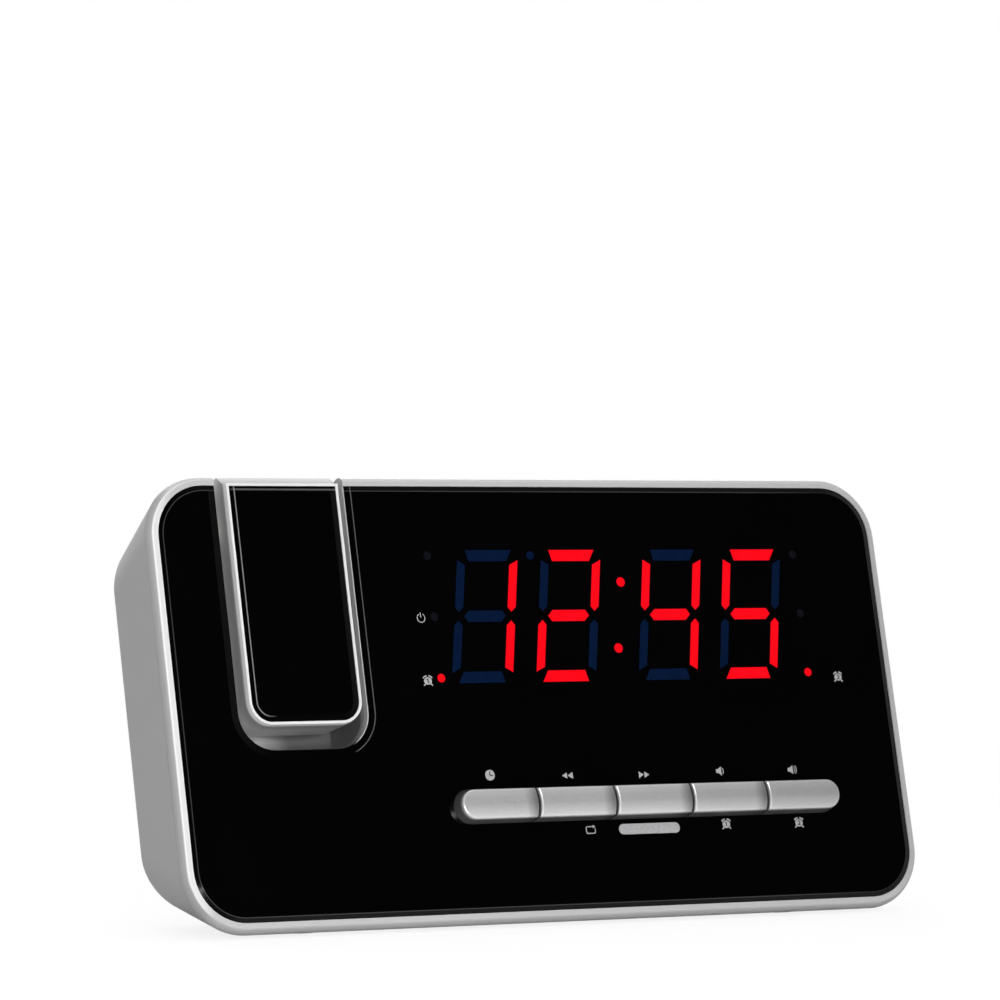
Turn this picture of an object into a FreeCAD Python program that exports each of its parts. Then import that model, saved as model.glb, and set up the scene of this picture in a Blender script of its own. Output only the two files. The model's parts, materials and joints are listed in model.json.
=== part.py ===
import FreeCAD, Part
import math
import os
from FreeCAD import Placement, Rotation, Vector

# Projection alarm clock. All sizes are in millimetres.
# Each piece is drawn in the frame of the front panel: x to the right, y up along the
# panel, z out of it, with the origin at the middle of the panel's front face.
# room_placement() then leans it back and stands it on its feet.

# Front panel
panel_width = 184.5
panel_height = 97.1
panel_corner = 11.75
panel_thickness = 2.0
panel_bevel_width = 1.2
panel_bevel_drop = 0.25
panel_gap = 0.03
lean_angle = 13.9

# Bezel: a bright rim round the panel, then a convex band back to the casing
rim_width = 1.15
band_width = 2.3
band_depth = 2.4
band_bow_share = 0.12
web_gap = 0.05
web_thickness = 1.6
lip_depth = 3.0
lip_thickness = 1.3
lip_relief = 0.15

# Rear casing: a tapered shell
case_depth = 40.0
case_wall = 2.2
case_edge_round = 5.9
inner_round_ease = 0.44
side_slope = 0.2254
top_slope = 0.128
bottom_slope = 0.307
seam_gap = 0.15

# Projector arm
arm_inset = 30.7
arm_width = 28.1
arm_proud = 1.6
arm_thickness = 19.6
arm_drop = 54.3
arm_corner = 5.5
arm_chamfer = 0.25
arm_top_step = 0.4
arm_wall = 1.6
arm_split_depth = 5.6
arm_heel_round = 9.0
insert_margin = 0.85
insert_thickness = 2.0
insert_bevel = 1.4
insert_bevel_drop = 0.2
insert_ledge = 3.0
insert_ledge_thickness = 1.0
insert_gap = 0.05
arm_screw_inset = 3.3
arm_screw_rise = 14.0
arm_screw_post_radius = 2.45
arm_screw_bite = 2.4
arm_post_gap = 0.5
least_corner = 0.6

# Pocket and well of the arm
pocket_side_gap = 1.85
pocket_finger_gap = 5.1
pocket_corner = 8.4
notch_gap = 0.1
notch_bevel_width = 1.7
well_step = 0.3
well_wall = 1.5
well_back_gap = 2.2
well_sweep_gap = 0.45
scoop_round = 11.7

# Hinge of the arm
pivot_drop = 8.5
pivot_depth = 9.0
pin_radius = 2.5
pin_bore = 1.2
pin_head_radius = 4.0
pin_head_thickness = 1.0
pin_inner_length = 3.6
pin_boss_wall = 1.0
pin_fit = 0.02
running_gap = 0.06
hinge_boss_radius = 5.0
hinge_boss_height = 1.2
hinge_boss_bite = 0.2
washer_radius = 4.5
washer_gap = 0.1

# Optics along the arm
optic_depth = 9.0
barrel_radius = 4.6
barrel_bore = 3.9
barrel_length = 19.5
barrel_sink = 1.5
ring_radius = 5.8
ring_proud = 1.0
ring_height = 5.4
ring_flange_radius = 6.8
ring_flange_height = 1.2
ring_hole_gap = 0.2
ring_grips = 16
grip_radius = 0.55
grip_rise = 0.19
grip_start = 0.6
holder_tube_wall = 1.2
lamp_box_width = 16.0
lamp_box_depth = 13.0
lamp_box_height = 23.6
lamp_box_wall = 1.4
lamp_box_cap = 2.5
led_board_rise = 3.35
led_board_thickness = 1.0
led_board_width = 20.0
led_board_depth = 12.0
led_rest_x = 7.0
led_rest_width = 3.0
led_radius = 2.5
led_height = 7.6
condenser_height = 9.6
condenser_thickness = 3.5
slide_height = 18.1
slide_thickness = 1.3
lens_thickness = 3.0
lens_edge = 1.0
lens_sink = 2.5
optic_gap = 0.05

# Figure display
digit_centre_x = 21.78
digit_drop = 30.0
digit_pitch = 21.65
pair_pitch = 26.85
digit_slant = 10.0
digit_half_height = 15.25
digit_half_width = 7.8
bar_across = 2.6
bar_upright = 2.1
bar_mitre = 1.1
bar_half_length = 5.95
mid_half_length = 5.35
upright_top = 12.9
upright_end = 1.0
bar_depth = 0.5
colon_rise = 7.7
colon_radius = 1.1
dot_radius = 0.97
alarm_dot_left_x = -26.3
alarm_dot_right_x = 70.6
alarm_dot_drop = 44.0
middle_dot_x = 0.2
block_left_rim = 0.92
block_right_rim = 0.18
block_height = 38.0
block_gap = 0.2

# Front keys
strip_centre_x = 23.28
strip_drop = 73.2
strip_length = 100.2
strip_height = 7.7
strip_proud = 3.3
strip_inset = 0.6
strip_top_round = 0.5
key_gap = 0.65
key_division_shift = -0.65
key_bulge = 0.85
key_slot_gap = 0.15
key_flange = 1.2
key_flange_thickness = 1.0
key_flange_gap = 0.15
key_travel = 0.6
press_gap = 0.1
key_stem_radius = 1.5
key_stem_length = 0.35
key_names = ["key_clock", "key_back", "key_forward", "key_volume_down", "key_volume_up"]

# Circuit boards and switches
board_thickness = 1.6
switch_size = 6.0
switch_height = 3.5
plunger_radius = 1.7
plunger_height = 0.5
front_board_left = -33.2
front_board_right = 76.2
front_board_top = 39.5
front_board_bottom = -37.5
board_boss_radius = 2.4
board_boss_inset = 2.9
pilot_radius = 0.8
main_board_depth = 24.0
main_board_width = 76.0
main_board_top = 32.0
main_board_bottom = -34.0
main_boss_radius = 3.0
main_boss_inset = 4.0
main_boss_floor = 4.0
connector_depth = 4.0
connector_height = 5.0
connector_width = 14.0
ribbon_x = 6.0
ribbon_y = -2.0
ribbon_width = 11.0
ribbon_thickness = 0.5
ribbon_run = 3.0

# Parts on the main board: left, bottom, width, height and rise; or centre, radius and rise
clock_chip = (-24.0, 2.0, 14.0, 14.0, 1.8)
radio_chip = (4.0, 10.0, 10.0, 7.0, 1.6)
regulator = (18.0, -12.0, 6.0, 10.0, 4.5)
large_capacitor = (-20.0, -14.0, 4.0, 9.5)
small_capacitor = (30.0, 10.0, 3.2, 7.5)

# Keys on the top
top_key_depth = 19.0
snooze_key_gap = 8.0
snooze_width = 13.0
snooze_proud = 2.2
snooze_crown = 0.8
crown_run = 1.5
snooze_travel = 1.0
round_key_radius = 4.5
round_key_proud = 1.6
round_key_crown = 0.5
round_key_travel = 0.8
projection_key_offset = 26.85
power_key_inset = 29.75
top_key_gap = 0.2
top_flange = 1.2
top_flange_thickness = 1.0
top_flange_gap = 0.15
top_stem_radius = 2.0
top_stem_length = 1.5
top_board_margin = 6.0
top_board_width = 12.0
top_boss_radius = 2.2
top_boss_offset = 8.5

# Speaker and grille
speaker_inset = 30.25
speaker_y = 5.0
speaker_radius = 20.0
speaker_depth = 15.0
speaker_sheet = 1.0
speaker_flange_width = 2.8
speaker_pole_bore = 2.0
speaker_gap = 0.2
speaker_seat_gap = 0.1
magnet_radius = 11.0
magnet_height = 6.0
cone_thickness = 0.5
cone_depth = 4.6
cone_cap_radius = 5.0
cone_rim_gap = 1.2
cone_rim_rise = 1.2
speaker_rib = 1.2
speaker_rib_height = 3.0
grille_radius = 17.0
grille_slot = 1.6
grille_pitch = 3.2
full_round_share = 0.999

# Power inlet
jack_x = -20.0
jack_y = -28.0
jack_width = 9.0
jack_height = 11.0
jack_mouth_radius = 3.2
jack_bore_radius = 2.75
jack_bore_depth = 9.0
jack_pin_radius = 1.0
jack_seat_gap = 0.1
jack_nose_sink = 0.6
jack_pin_sink = 1.4

# Backup cell
cell_x = 2.0
cell_y = -17.0
cell_radius = 10.0
cell_thickness = 3.2
door_width = 32.0
door_height = 25.0
door_thickness = 1.6
door_gap = 0.2
door_ledge = 1.6
tray_depth = 5.5
tray_wall = 1.2
tray_post_radius = 1.7
cell_offset = 3.0
door_screw_x = 13.2
door_screw_sink = 0.9
contact_width = 5.0
contact_thickness = 0.3

# Feet
foot_radius = 5.0
foot_inset = 30.25
front_foot_depth = 15.0
rear_foot_depth = 31.0
floor_gap = 0.8

# Screws
screw_radius = 1.4
screw_head_radius = 2.7
screw_head_height = 1.6
small_screw_radius = 0.8
small_head_radius = 1.9
small_head_height = 1.1
small_screw_length = 5.0
case_boss_radius = 2.9
case_screw_inset = 12.85
case_screw_low_y = -31.0
case_screw_high_y = 34.0
well_screw_y = 22.0
case_boss_split = 26.0
well_screw_bite = 0.3
screw_recess = 6.0
screw_recess_wall = 1.4
screw_length = 14.0
screw_clearance = 0.1
screw_tip_gap = 0.2
pilot_end_gap = 0.5

# How far pieces of one solid run into each other where they join
join_overlap = 0.5

# Values worked out from the ones above
half_panel_w = panel_width / 2
half_panel_h = panel_height / 2
web_front = -panel_thickness - web_gap
web_back = web_front - web_thickness
arm_centre_x = arm_inset - half_panel_w
speaker_x = half_panel_w - speaker_inset
foot_x = half_panel_w - foot_inset
case_screw_x = half_panel_w - case_screw_inset
projection_key_x = arm_centre_x + projection_key_offset
power_key_x = half_panel_w - power_key_inset
snooze_centre_x = (projection_key_x + power_key_x) / 2
snooze_length = power_key_x - projection_key_x - 2 * (round_key_radius + snooze_key_gap)
top_board_left = projection_key_x - top_board_margin
top_board_right = power_key_x + top_board_margin
top_boss_places = [projection_key_x + top_boss_offset, power_key_x - top_boss_offset]
arm_front = arm_proud
arm_back = arm_proud - arm_thickness
arm_bottom = half_panel_h - arm_drop
arm_split = -arm_split_depth
arm_half = arm_width / 2
pocket_half = arm_half + pocket_side_gap
pocket_bottom = arm_bottom - pocket_finger_gap
well_half = pocket_half + well_step
well_bottom = pocket_bottom - well_step
well_corner = pocket_corner + well_step
well_front = web_back
well_back = arm_back - well_back_gap
pivot_y = half_panel_h - pivot_drop
pivot_z = -pivot_depth
optic_z = -optic_depth
case_floor_z = -case_depth + case_wall
case_inner_round = case_edge_round - case_wall + inner_round_ease
digit_y = half_panel_h - digit_drop
strip_y = half_panel_h - strip_drop
key_pitch = strip_length / 5
key_flange_front = -panel_thickness - key_flange_gap
key_flange_back = key_flange_front - key_flange_thickness
key_stem_end = key_flange_back - key_stem_length
switch_top = key_stem_end - key_travel - press_gap
front_board_front = switch_top - plunger_height - switch_height
block_front = -panel_thickness - web_gap
top_angle = math.degrees(math.atan(top_slope))
far = 200.0


# Plain shapes

def line(a, b):
    return Part.LineSegment(a, b).toShape()


def arc(a, b, c):
    return Part.Arc(a, b, c).toShape()


def closed_face(edges):
    return Part.Face(Part.Wire(edges))


def corner_point(cx, cy, r, degrees, z):
    a = math.radians(degrees)
    return Vector(cx + r * math.cos(a), cy + r * math.sin(a), z)


def rounded_outline(x0, x1, y0, y1, r, z):
    """Rectangle with four round corners, as a wire at height z."""
    p = [
        (x1 - r, y0 + r, -90), (x1 - r, y1 - r, 0),
        (x0 + r, y1 - r, 90), (x0 + r, y0 + r, 180),
    ]
    edges = []
    for i, (cx, cy, a) in enumerate(p):
        nx, ny, na = p[(i + 1) % 4]
        start = corner_point(cx, cy, r, a, z)
        middle = corner_point(cx, cy, r, a + 45, z)
        end = corner_point(cx, cy, r, a + 90, z)
        following = corner_point(nx, ny, r, na, z)
        edges.append(arc(start, middle, end))
        if end.distanceToPoint(following) > 1e-6:
            edges.append(line(end, following))
    return Part.Wire(edges)


def cup_outline(cx, half, bottom, top, r, z):
    """U shape: round lower corners, square top."""
    left = cx - half
    right = cx + half
    a = Vector(left, top, z)
    b = Vector(left, bottom + r, z)
    c = corner_point(left + r, bottom + r, r, 225, z)
    d = Vector(left + r, bottom, z)
    e = Vector(right - r, bottom, z)
    f = corner_point(right - r, bottom + r, r, 315, z)
    g = Vector(right, bottom + r, z)
    h = Vector(right, top, z)
    return Part.Wire([line(a, b), arc(b, c, d), line(d, e), arc(e, f, g), line(g, h), line(h, a)])


def prism(outline, height):
    return Part.Face(outline).extrude(Vector(0, 0, height))


def wall_between(lower, upper):
    """Face from one edge to its partner: flat between lines, ruled between arcs."""
    if not isinstance(lower.Curve, Part.Line):
        return Part.makeRuledSurface(lower, upper)
    a, b = lower.Vertexes[0].Point, lower.Vertexes[-1].Point
    c, d = upper.Vertexes[-1].Point, upper.Vertexes[0].Point
    return Part.Face(Part.makePolygon([a, b, c, d, a]))


def ruled_solid(lower, upper):
    """Solid between two outlines whose edges pair off, with straight walls from each to its partner."""
    faces = [Part.Face(lower), Part.Face(upper)]
    for a, b in zip(lower.Edges, upper.Edges):
        faces.append(wall_between(a, b))
    shell = Part.makeShell(faces)
    shell.sewShape()
    return Part.makeSolid(shell).removeSplitter()


def block(x0, x1, y0, y1, z0, z1):
    return Part.makeBox(x1 - x0, y1 - y0, z1 - z0, Vector(x0, y0, z0))


def rod(r, x, y, z0, z1):
    """Round rod along z."""
    return Part.makeCylinder(r, z1 - z0, Vector(x, y, z0), Vector(0, 0, 1))


def rod_x(r, x0, x1, y, z):
    return Part.makeCylinder(r, x1 - x0, Vector(x0, y, z), Vector(1, 0, 0))


def rod_y(r, y0, y1, x, z):
    return Part.makeCylinder(r, y1 - y0, Vector(x, y0, z), Vector(0, 1, 0))


def side_prism(points, x0, x1):
    """Polygon in the side view, as (z, y) corners, extruded along x."""
    corners = [Vector(x0, y, z) for z, y in points]
    face = Part.Face(Part.makePolygon(corners + [corners[0]]))
    return face.extrude(Vector(x1 - x0, 0, 0))


def join(shapes):
    solid = shapes[0]
    if len(shapes) > 1:
        solid = solid.fuse(shapes[1:])
    return solid.removeSplitter()


# Casing form, used for the outside, the inside and whatever follows them

def case_limits(z, inset):
    """Left, right, bottom and top of the tapered form at depth z."""
    back = -z - band_depth
    half = half_panel_w + band_width - side_slope * back - inset
    top = half_panel_h + band_width - top_slope * back - inset
    bottom = -half_panel_h - band_width + bottom_slope * back + inset
    return -half, half, bottom, top


def case_top(z):
    return case_limits(z, 0)[3]


def case_outline(z, inset):
    x0, x1, y0, y1 = case_limits(z, inset)
    return rounded_outline(x0, x1, y0, y1, panel_corner + band_width - inset, z)


def case_form(inset, front, back, edge_round):
    form = ruled_solid(case_outline(back, inset), case_outline(front, inset))
    rear_edges = []
    for edge in form.Edges:
        if all(abs(v.Z - back) < 1e-4 for v in edge.Vertexes):
            rear_edges.append(edge)
    return form.makeFillet(edge_round, rear_edges)


# Arm forms

def arm_limit(inset):
    return arm_half - inset, arm_bottom + inset, arm_corner - inset


def arm_side_points(inset):
    """Side view of the arm as a (z, y) polygon; its top follows the bezel and the casing."""
    back = arm_back + inset
    front_top = case_top(-band_depth) - band_width + arm_top_step
    return [
        (far, -far), (far, front_top - inset), (0, front_top - inset),
        (-band_depth, case_top(-band_depth) - inset),
        (back, case_top(back) - inset), (back, -far),
    ]


def arm_form(inset, back, front):
    half, bottom, r = arm_limit(inset)
    body = prism(cup_outline(arm_centre_x, half, bottom, far, r, back), front - back)
    body = body.common(side_prism(arm_side_points(inset), arm_centre_x - far, arm_centre_x + far))
    heel = arm_heel_round
    centre_z = arm_back + heel
    centre_y = arm_bottom + heel
    corner = block(
        arm_centre_x - far, arm_centre_x + far,
        arm_bottom - heel, centre_y, arm_back - heel, centre_z,
    )
    corner = corner.cut(
        rod_x(heel - inset, arm_centre_x - far, arm_centre_x + far, centre_y, centre_z))
    return body.cut(corner)


def ring_top_y():
    return case_top(optic_z) + ring_proud


def sweep_radius():
    """Farthest that the top end of the arm reaches from its pivot as it tilts."""
    reach = [
        (arm_back, case_top(arm_back)),
        (-band_depth, case_top(-band_depth)),
        (arm_front, case_top(-band_depth) - band_width + arm_top_step),
        (optic_z - ring_radius, ring_top_y()),
    ]
    return max(math.hypot(z - pivot_z, y - pivot_y) for z, y in reach) + well_sweep_gap


# Well forms

def pocket_form(grow, back, front):
    """The U-shaped pocket through the bezel, open at the top."""
    return prism(
        cup_outline(arm_centre_x, pocket_half + grow, pocket_bottom - grow, far,
                    pocket_corner + grow, back),
        front - back)


def well_form(grow, front):
    """Space of the well, grown by its wall for the outside."""
    back = well_back - grow
    half = well_half + grow
    bottom = well_bottom - grow
    x0 = arm_centre_x - half
    x1 = arm_centre_x + half
    tub = prism(
        cup_outline(arm_centre_x, half, bottom, far, well_corner + grow, back), front - back)
    round_r = scoop_round + grow
    heel_z = back + round_r
    heel_y = bottom + round_r
    corner = block(x0 - 1, x1 + 1, bottom - 1, heel_y, back - 1, heel_z)
    corner = corner.cut(rod_x(round_r, x0 - 1, x1 + 1, heel_y, heel_z))
    tub = tub.cut(corner)
    bulge = rod_x(sweep_radius() + grow, x0, x1, pivot_y, pivot_z)
    bulge = bulge.common(block(x0, x1, -far, far, -far, pivot_z))
    return tub.fuse(bulge).removeSplitter()


# Front pieces

def bezel_section():
    """Section of the ring at the middle of the right side, in the x-z plane."""
    edge = half_panel_w
    outer = edge + band_width
    lip_out = case_limits(-band_depth, case_wall + seam_gap)[1]
    lip_end = -band_depth - lip_depth
    lip_low = lip_out - lip_depth * max(side_slope, top_slope, bottom_slope) - lip_relief
    inner = lip_low - lip_thickness
    points = [
        Vector(edge, 0, 0), Vector(edge + rim_width, 0, 0), Vector(outer, 0, -band_depth),
        Vector(lip_out, 0, -band_depth), Vector(lip_low, 0, lip_end), Vector(inner, 0, lip_end),
        Vector(inner, 0, web_front), Vector(edge, 0, web_front),
    ]
    across = Vector(band_width - rim_width, 0, -band_depth)
    bow = Vector(band_depth, 0, band_width - rim_width).normalize() * (band_bow_share * across.Length)
    middle = points[1] + across * 0.5 + bow
    edges = [line(points[0], points[1]), arc(points[1], middle, points[2])]
    for i in range(2, len(points)):
        edges.append(line(points[i], points[(i + 1) % len(points)]))
    return closed_face(edges)


def make_front_bezel():
    path = rounded_outline(
        -half_panel_w, half_panel_w, -half_panel_h, half_panel_h, panel_corner, 0)
    ring = path.makePipe(bezel_section())
    if ring.ShapeType != "Solid":
        ring = Part.Solid(ring.Shells[0])
    web = prism(case_outline(web_back, case_wall + seam_gap + lip_thickness / 2), web_thickness)
    bezel = join([ring, web])
    bezel = bezel.cut(pocket_form(0, -far, far))
    bezel = bezel.cut(well_form(well_wall + seam_gap, well_front))
    x0, x1, y0, y1 = block_limits(block_gap)
    bezel = bezel.cut(block(x0, x1, y0, y1, web_back - 1, web_front + 1))
    bezel = bezel.cut(strip_prism(key_flange + key_slot_gap * 2, web_back - 1, web_front + 1))
    posts = []
    for x, y in front_boss_places():
        posts.append(rod(board_boss_radius, x, y, front_board_front, web_back))
    for x, y in case_boss_places():
        posts.append(rod(case_boss_radius, x, y, -case_boss_split, web_back))
    bezel = join([bezel] + posts)
    for x, y in front_boss_places():
        bezel = bezel.cut(rod(pilot_radius, x, y, front_board_front - 1, web_back - pilot_end_gap))
    for x, y in case_boss_places():
        bezel = bezel.cut(rod(screw_radius, x, y, -case_boss_split - 1, web_back - pilot_end_gap))
    return bezel


def make_front_panel():
    def plate(grow, z):
        return rounded_outline(
            -half_panel_w - grow, half_panel_w + grow,
            -half_panel_h - grow, half_panel_h + grow, panel_corner + grow, z)

    def notch(grow, z):
        return cup_outline(arm_centre_x, pocket_half + grow, pocket_bottom - grow, far,
                           pocket_corner + grow, z)

    low = -panel_bevel_drop
    body = prism(plate(-panel_gap, -panel_thickness), panel_thickness - panel_bevel_drop)
    body = body.cut(prism(notch(0, -panel_thickness), panel_thickness))
    face = ruled_solid(plate(-panel_gap, low), plate(-panel_bevel_width, 0))
    face = face.cut(ruled_solid(notch(0, low), notch(notch_bevel_width, 0)))
    panel = join([body, face])
    panel = panel.cut(strip_prism(key_slot_gap, -far, far))
    for bar in lit_bars() + unlit_bars():
        panel = panel.cut(bar)
    return panel


def make_projector_well():
    outer = well_form(well_wall, well_front)
    outer = outer.common(case_form(0, 0, -case_depth, case_edge_round))
    tub = outer.cut(well_form(0, far))
    pieces = [tub]
    for side in (-1, 1):
        wall_x = arm_centre_x + side * (well_half + hinge_boss_bite)
        face_x = arm_centre_x + side * (well_half - hinge_boss_height)
        pieces.append(rod_x(
            hinge_boss_radius, min(wall_x, face_x), max(wall_x, face_x), pivot_y, pivot_z))
    pieces.append(rod(case_boss_radius, arm_centre_x, well_screw_y, -case_boss_split,
                      well_back - well_wall / 2))
    tub = join(pieces)
    tub = tub.cut(rod_x(pin_radius + running_gap, arm_centre_x - far, arm_centre_x + far,
                        pivot_y, pivot_z))
    return tub.cut(rod(
        screw_radius, arm_centre_x, well_screw_y, -case_boss_split - 1, well_screw_end()))


def well_screw_end():
    """Depth at which the blind hole of the well's own screw ends, inside the well's wall."""
    return well_back - well_wall + well_screw_bite


# Figure display

def slanted(points, cx, cy, z, depth):
    """Bar of a figure: its corners lean over by the slant of the figures."""
    shear = math.tan(math.radians(digit_slant))
    corners = [Vector(cx + x + y * shear, cy + y, z) for x, y in points]
    face = Part.Face(Part.makePolygon(corners + [corners[0]]))
    return face.extrude(Vector(0, 0, depth))


def bar_points(name):
    """Outline of one of the seven bars, about the middle of its figure."""
    h = digit_half_height
    w = digit_half_width
    thick = bar_across
    m = bar_mitre
    flat = [(-bar_half_length, h), (bar_half_length, h),
            (bar_half_length - m, h - thick), (m - bar_half_length, h - thick)]
    middle = [(-mid_half_length, 0), (m - mid_half_length, thick / 2),
              (mid_half_length - m, thick / 2), (mid_half_length, 0),
              (mid_half_length - m, -thick / 2), (m - mid_half_length, -thick / 2)]
    inner = w - bar_upright
    upright = [(w, upright_top), (inner, upright_top - m), (inner, upright_end + m),
               ((w + inner) / 2, upright_end), (w, upright_end + m)]
    shapes = {
        "top": flat,
        "bottom": [(x, -y) for x, y in flat],
        "middle": middle,
        "upper_right": upright,
        "upper_left": [(-x, y) for x, y in upright],
        "lower_right": [(x, -y) for x, y in upright],
        "lower_left": [(-x, -y) for x, y in upright],
    }
    return shapes[name]


all_bars = ["top", "upper_left", "upper_right", "middle", "lower_left", "lower_right", "bottom"]
lit_bar_names = [
    ["upper_right", "lower_right"],
    ["top", "upper_right", "middle", "lower_left", "bottom"],
    ["upper_left", "upper_right", "middle", "lower_right"],
    ["top", "upper_left", "middle", "lower_right", "bottom"],
]


def digit_centres():
    inner = pair_pitch / 2
    outer = inner + digit_pitch
    return [digit_centre_x + offset for offset in (-outer, -inner, inner, outer)]


def dot(x, y, r):
    return rod(r, x, y, -bar_depth, 0)


def lit_bars():
    bars = []
    for cx, names in zip(digit_centres(), lit_bar_names):
        for name in names:
            bars.append(slanted(bar_points(name), cx, digit_y, -bar_depth, bar_depth))
    shear = math.tan(math.radians(digit_slant))
    for rise in (colon_rise, -colon_rise):
        bars.append(dot(digit_centre_x + rise * shear, digit_y + rise, colon_radius))
    alarm_y = half_panel_h - alarm_dot_drop
    bars.append(dot(alarm_dot_left_x, alarm_y, dot_radius))
    bars.append(dot(alarm_dot_right_x, alarm_y, dot_radius))
    return bars


def unlit_bars():
    bars = []
    for cx, names in zip(digit_centres(), lit_bar_names):
        for name in all_bars:
            if name not in names:
                bars.append(slanted(bar_points(name), cx, digit_y, -bar_depth, bar_depth))
    row_step = (alarm_dot_drop - digit_drop)
    for rise in (0, row_step):
        bars.append(dot(alarm_dot_left_x, digit_y + rise, dot_radius))
        bars.append(dot(alarm_dot_right_x, digit_y + rise, dot_radius))
    bars.append(dot(middle_dot_x, digit_y + row_step, dot_radius))
    return bars


def block_limits(grow):
    return (
        alarm_dot_left_x - block_left_rim - grow, alarm_dot_right_x + block_right_rim + grow,
        digit_y - block_height / 2 - grow, digit_y + block_height / 2 + grow,
    )


def make_display_block():
    x0, x1, y0, y1 = block_limits(0)
    return block(x0, x1, y0, y1, front_board_front, block_front)


# Front keys

def strip_outline(grow, z):
    half = strip_length / 2 + grow
    tall = strip_height / 2 + grow
    return rounded_outline(
        strip_centre_x - half, strip_centre_x + half, strip_y - tall, strip_y + tall, tall, z)


def strip_prism(grow, z0, z1):
    return prism(strip_outline(grow, z0), z1 - z0)


def key_edge_x(base, reach):
    """Place of the curved division between two keys, at a height off the strip's middle."""
    half = strip_height / 2
    r = (half * half + key_bulge * key_bulge) / (2 * key_bulge)
    return base + key_bulge - r + math.sqrt(r * r - reach * reach)


def key_cell(index):
    """Space of one key between its two curved divisions."""
    reach = strip_height / 2 + key_flange + 0.3
    left = strip_centre_x - strip_length / 2 + index * key_pitch + key_gap / 2
    left += key_division_shift
    right = left + key_pitch - key_gap
    z0 = key_stem_end - 5
    height = strip_proud - z0 + 5
    top = strip_y + reach
    low = strip_y - reach
    if index == 0:
        a = Vector(left - 5, low, z0)
        b = Vector(left - 5, top, z0)
        left_side = line(b, a)
    else:
        a = Vector(key_edge_x(left, reach), low, z0)
        b = Vector(key_edge_x(left, reach), top, z0)
        left_side = arc(b, Vector(left + key_bulge, strip_y, z0), a)
    if index == len(key_names) - 1:
        c = Vector(right + 5, low, z0)
        d = Vector(right + 5, top, z0)
        right_side = line(c, d)
    else:
        c = Vector(key_edge_x(right, reach), low, z0)
        d = Vector(key_edge_x(right, reach), top, z0)
        right_side = arc(c, Vector(right + key_bulge, strip_y, z0), d)
    outline = Part.Wire([left_side, line(a, c), right_side, line(d, b)])
    return prism(outline, height)


def strip_form():
    """All five keys before they are divided and their top edges rounded."""
    cap = ruled_solid(strip_outline(0, 0), strip_outline(-strip_inset, strip_proud))
    shank = strip_prism(0, key_flange_front, 0)
    flange = strip_prism(key_flange, key_flange_back, key_flange_front)
    return join([cap, shank, flange])


def key_centre(index):
    return strip_centre_x - strip_length / 2 + (index + 0.5) * key_pitch + key_bulge / 2


def make_keys():
    whole = strip_form()
    keys = {}
    for index, name in enumerate(key_names):
        key = whole.common(key_cell(index))
        rim = [e for e in key.Edges if all(abs(v.Z - strip_proud) < 1e-4 for v in e.Vertexes)]
        key = key.makeFillet(strip_top_round, rim)
        stem = rod(key_stem_radius, key_centre(index), strip_y, key_stem_end, key_flange_back)
        keys[name] = join([key, stem])
    return keys


def tact_switch(x, y, base):
    """Small push switch that stands on a board whose face is at base."""
    half = switch_size / 2
    body = block(x - half, x + half, y - half, y + half, base, base + switch_height)
    top = base + switch_height
    return body.fuse(rod(plunger_radius, x, y, top, top + plunger_height)).removeSplitter()


def make_key_switches():
    return Part.makeCompound(
        [tact_switch(key_centre(i), strip_y, front_board_front) for i in range(len(key_names))])


# Boards

def front_boss_places():
    x0 = front_board_left + board_boss_inset
    x1 = front_board_right - board_boss_inset
    y0 = front_board_bottom + board_boss_inset
    y1 = front_board_top - board_boss_inset
    return [(x0, y0), (x1, y0), (x0, y1), (x1, y1)]


def main_boss_places():
    x = main_board_width / 2 - main_boss_inset
    y0 = main_board_bottom + main_boss_inset
    y1 = main_board_top - main_boss_inset
    return [(-x, y0), (x, y0), (-x, y1), (x, y1)]


def board_plate(x0, x1, y0, y1, front, holes):
    plate = block(x0, x1, y0, y1, front - board_thickness, front)
    for x, y in holes:
        plate = plate.cut(rod(
            small_screw_radius + 2 * screw_clearance, x, y, front - board_thickness - 1, front + 1))
    return plate


def make_front_board():
    return board_plate(
        front_board_left, front_board_right, front_board_bottom, front_board_top,
        front_board_front, front_boss_places())


def make_main_board():
    half = main_board_width / 2
    return board_plate(
        -half, half, main_board_bottom, main_board_top, -main_board_depth, main_boss_places())


def make_board_parts():
    """Clock chip, radio chip, regulator and two capacitors on the main board's front."""
    base = -main_board_depth
    parts = []
    for x, y, width, height, rise in (clock_chip, radio_chip, regulator):
        parts.append(block(x, x + width, y, y + height, base, base + rise))
    for x, y, r, rise in (large_capacitor, small_capacitor):
        parts.append(rod(r, x, y, base, base + rise))
    return Part.makeCompound(parts)


def ribbon_limits():
    front = front_board_front - board_thickness - connector_depth / 2
    back = -main_board_depth + connector_depth / 2
    return front, back


def make_board_connectors():
    half = connector_width / 2
    front = front_board_front - board_thickness
    back = -main_board_depth
    y0 = ribbon_y
    y1 = ribbon_y + connector_height
    return Part.makeCompound([
        block(ribbon_x - half, ribbon_x + half, y0, y1, front - connector_depth, front),
        block(ribbon_x - half, ribbon_x + half, y0, y1, back, back + connector_depth),
    ])


def make_ribbon_cable():
    """Flat cable in a U from one connector down and up to the other."""
    front, back = ribbon_limits()
    middle = (front + back) / 2
    r = (front - back) / 2
    x0 = ribbon_x - ribbon_width / 2
    x1 = ribbon_x + ribbon_width / 2
    bend_y = ribbon_y - ribbon_run
    half = ribbon_thickness / 2
    bend = rod_x(r + half, x0, x1, bend_y, middle).cut(rod_x(r - half, x0, x1, bend_y, middle))
    bend = bend.common(block(x0, x1, bend_y - r - 1, bend_y, back - 1, front + 1))
    legs = [block(x0, x1, bend_y, ribbon_y, z - half, z + half) for z in (front, back)]
    return join([bend] + legs)


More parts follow.
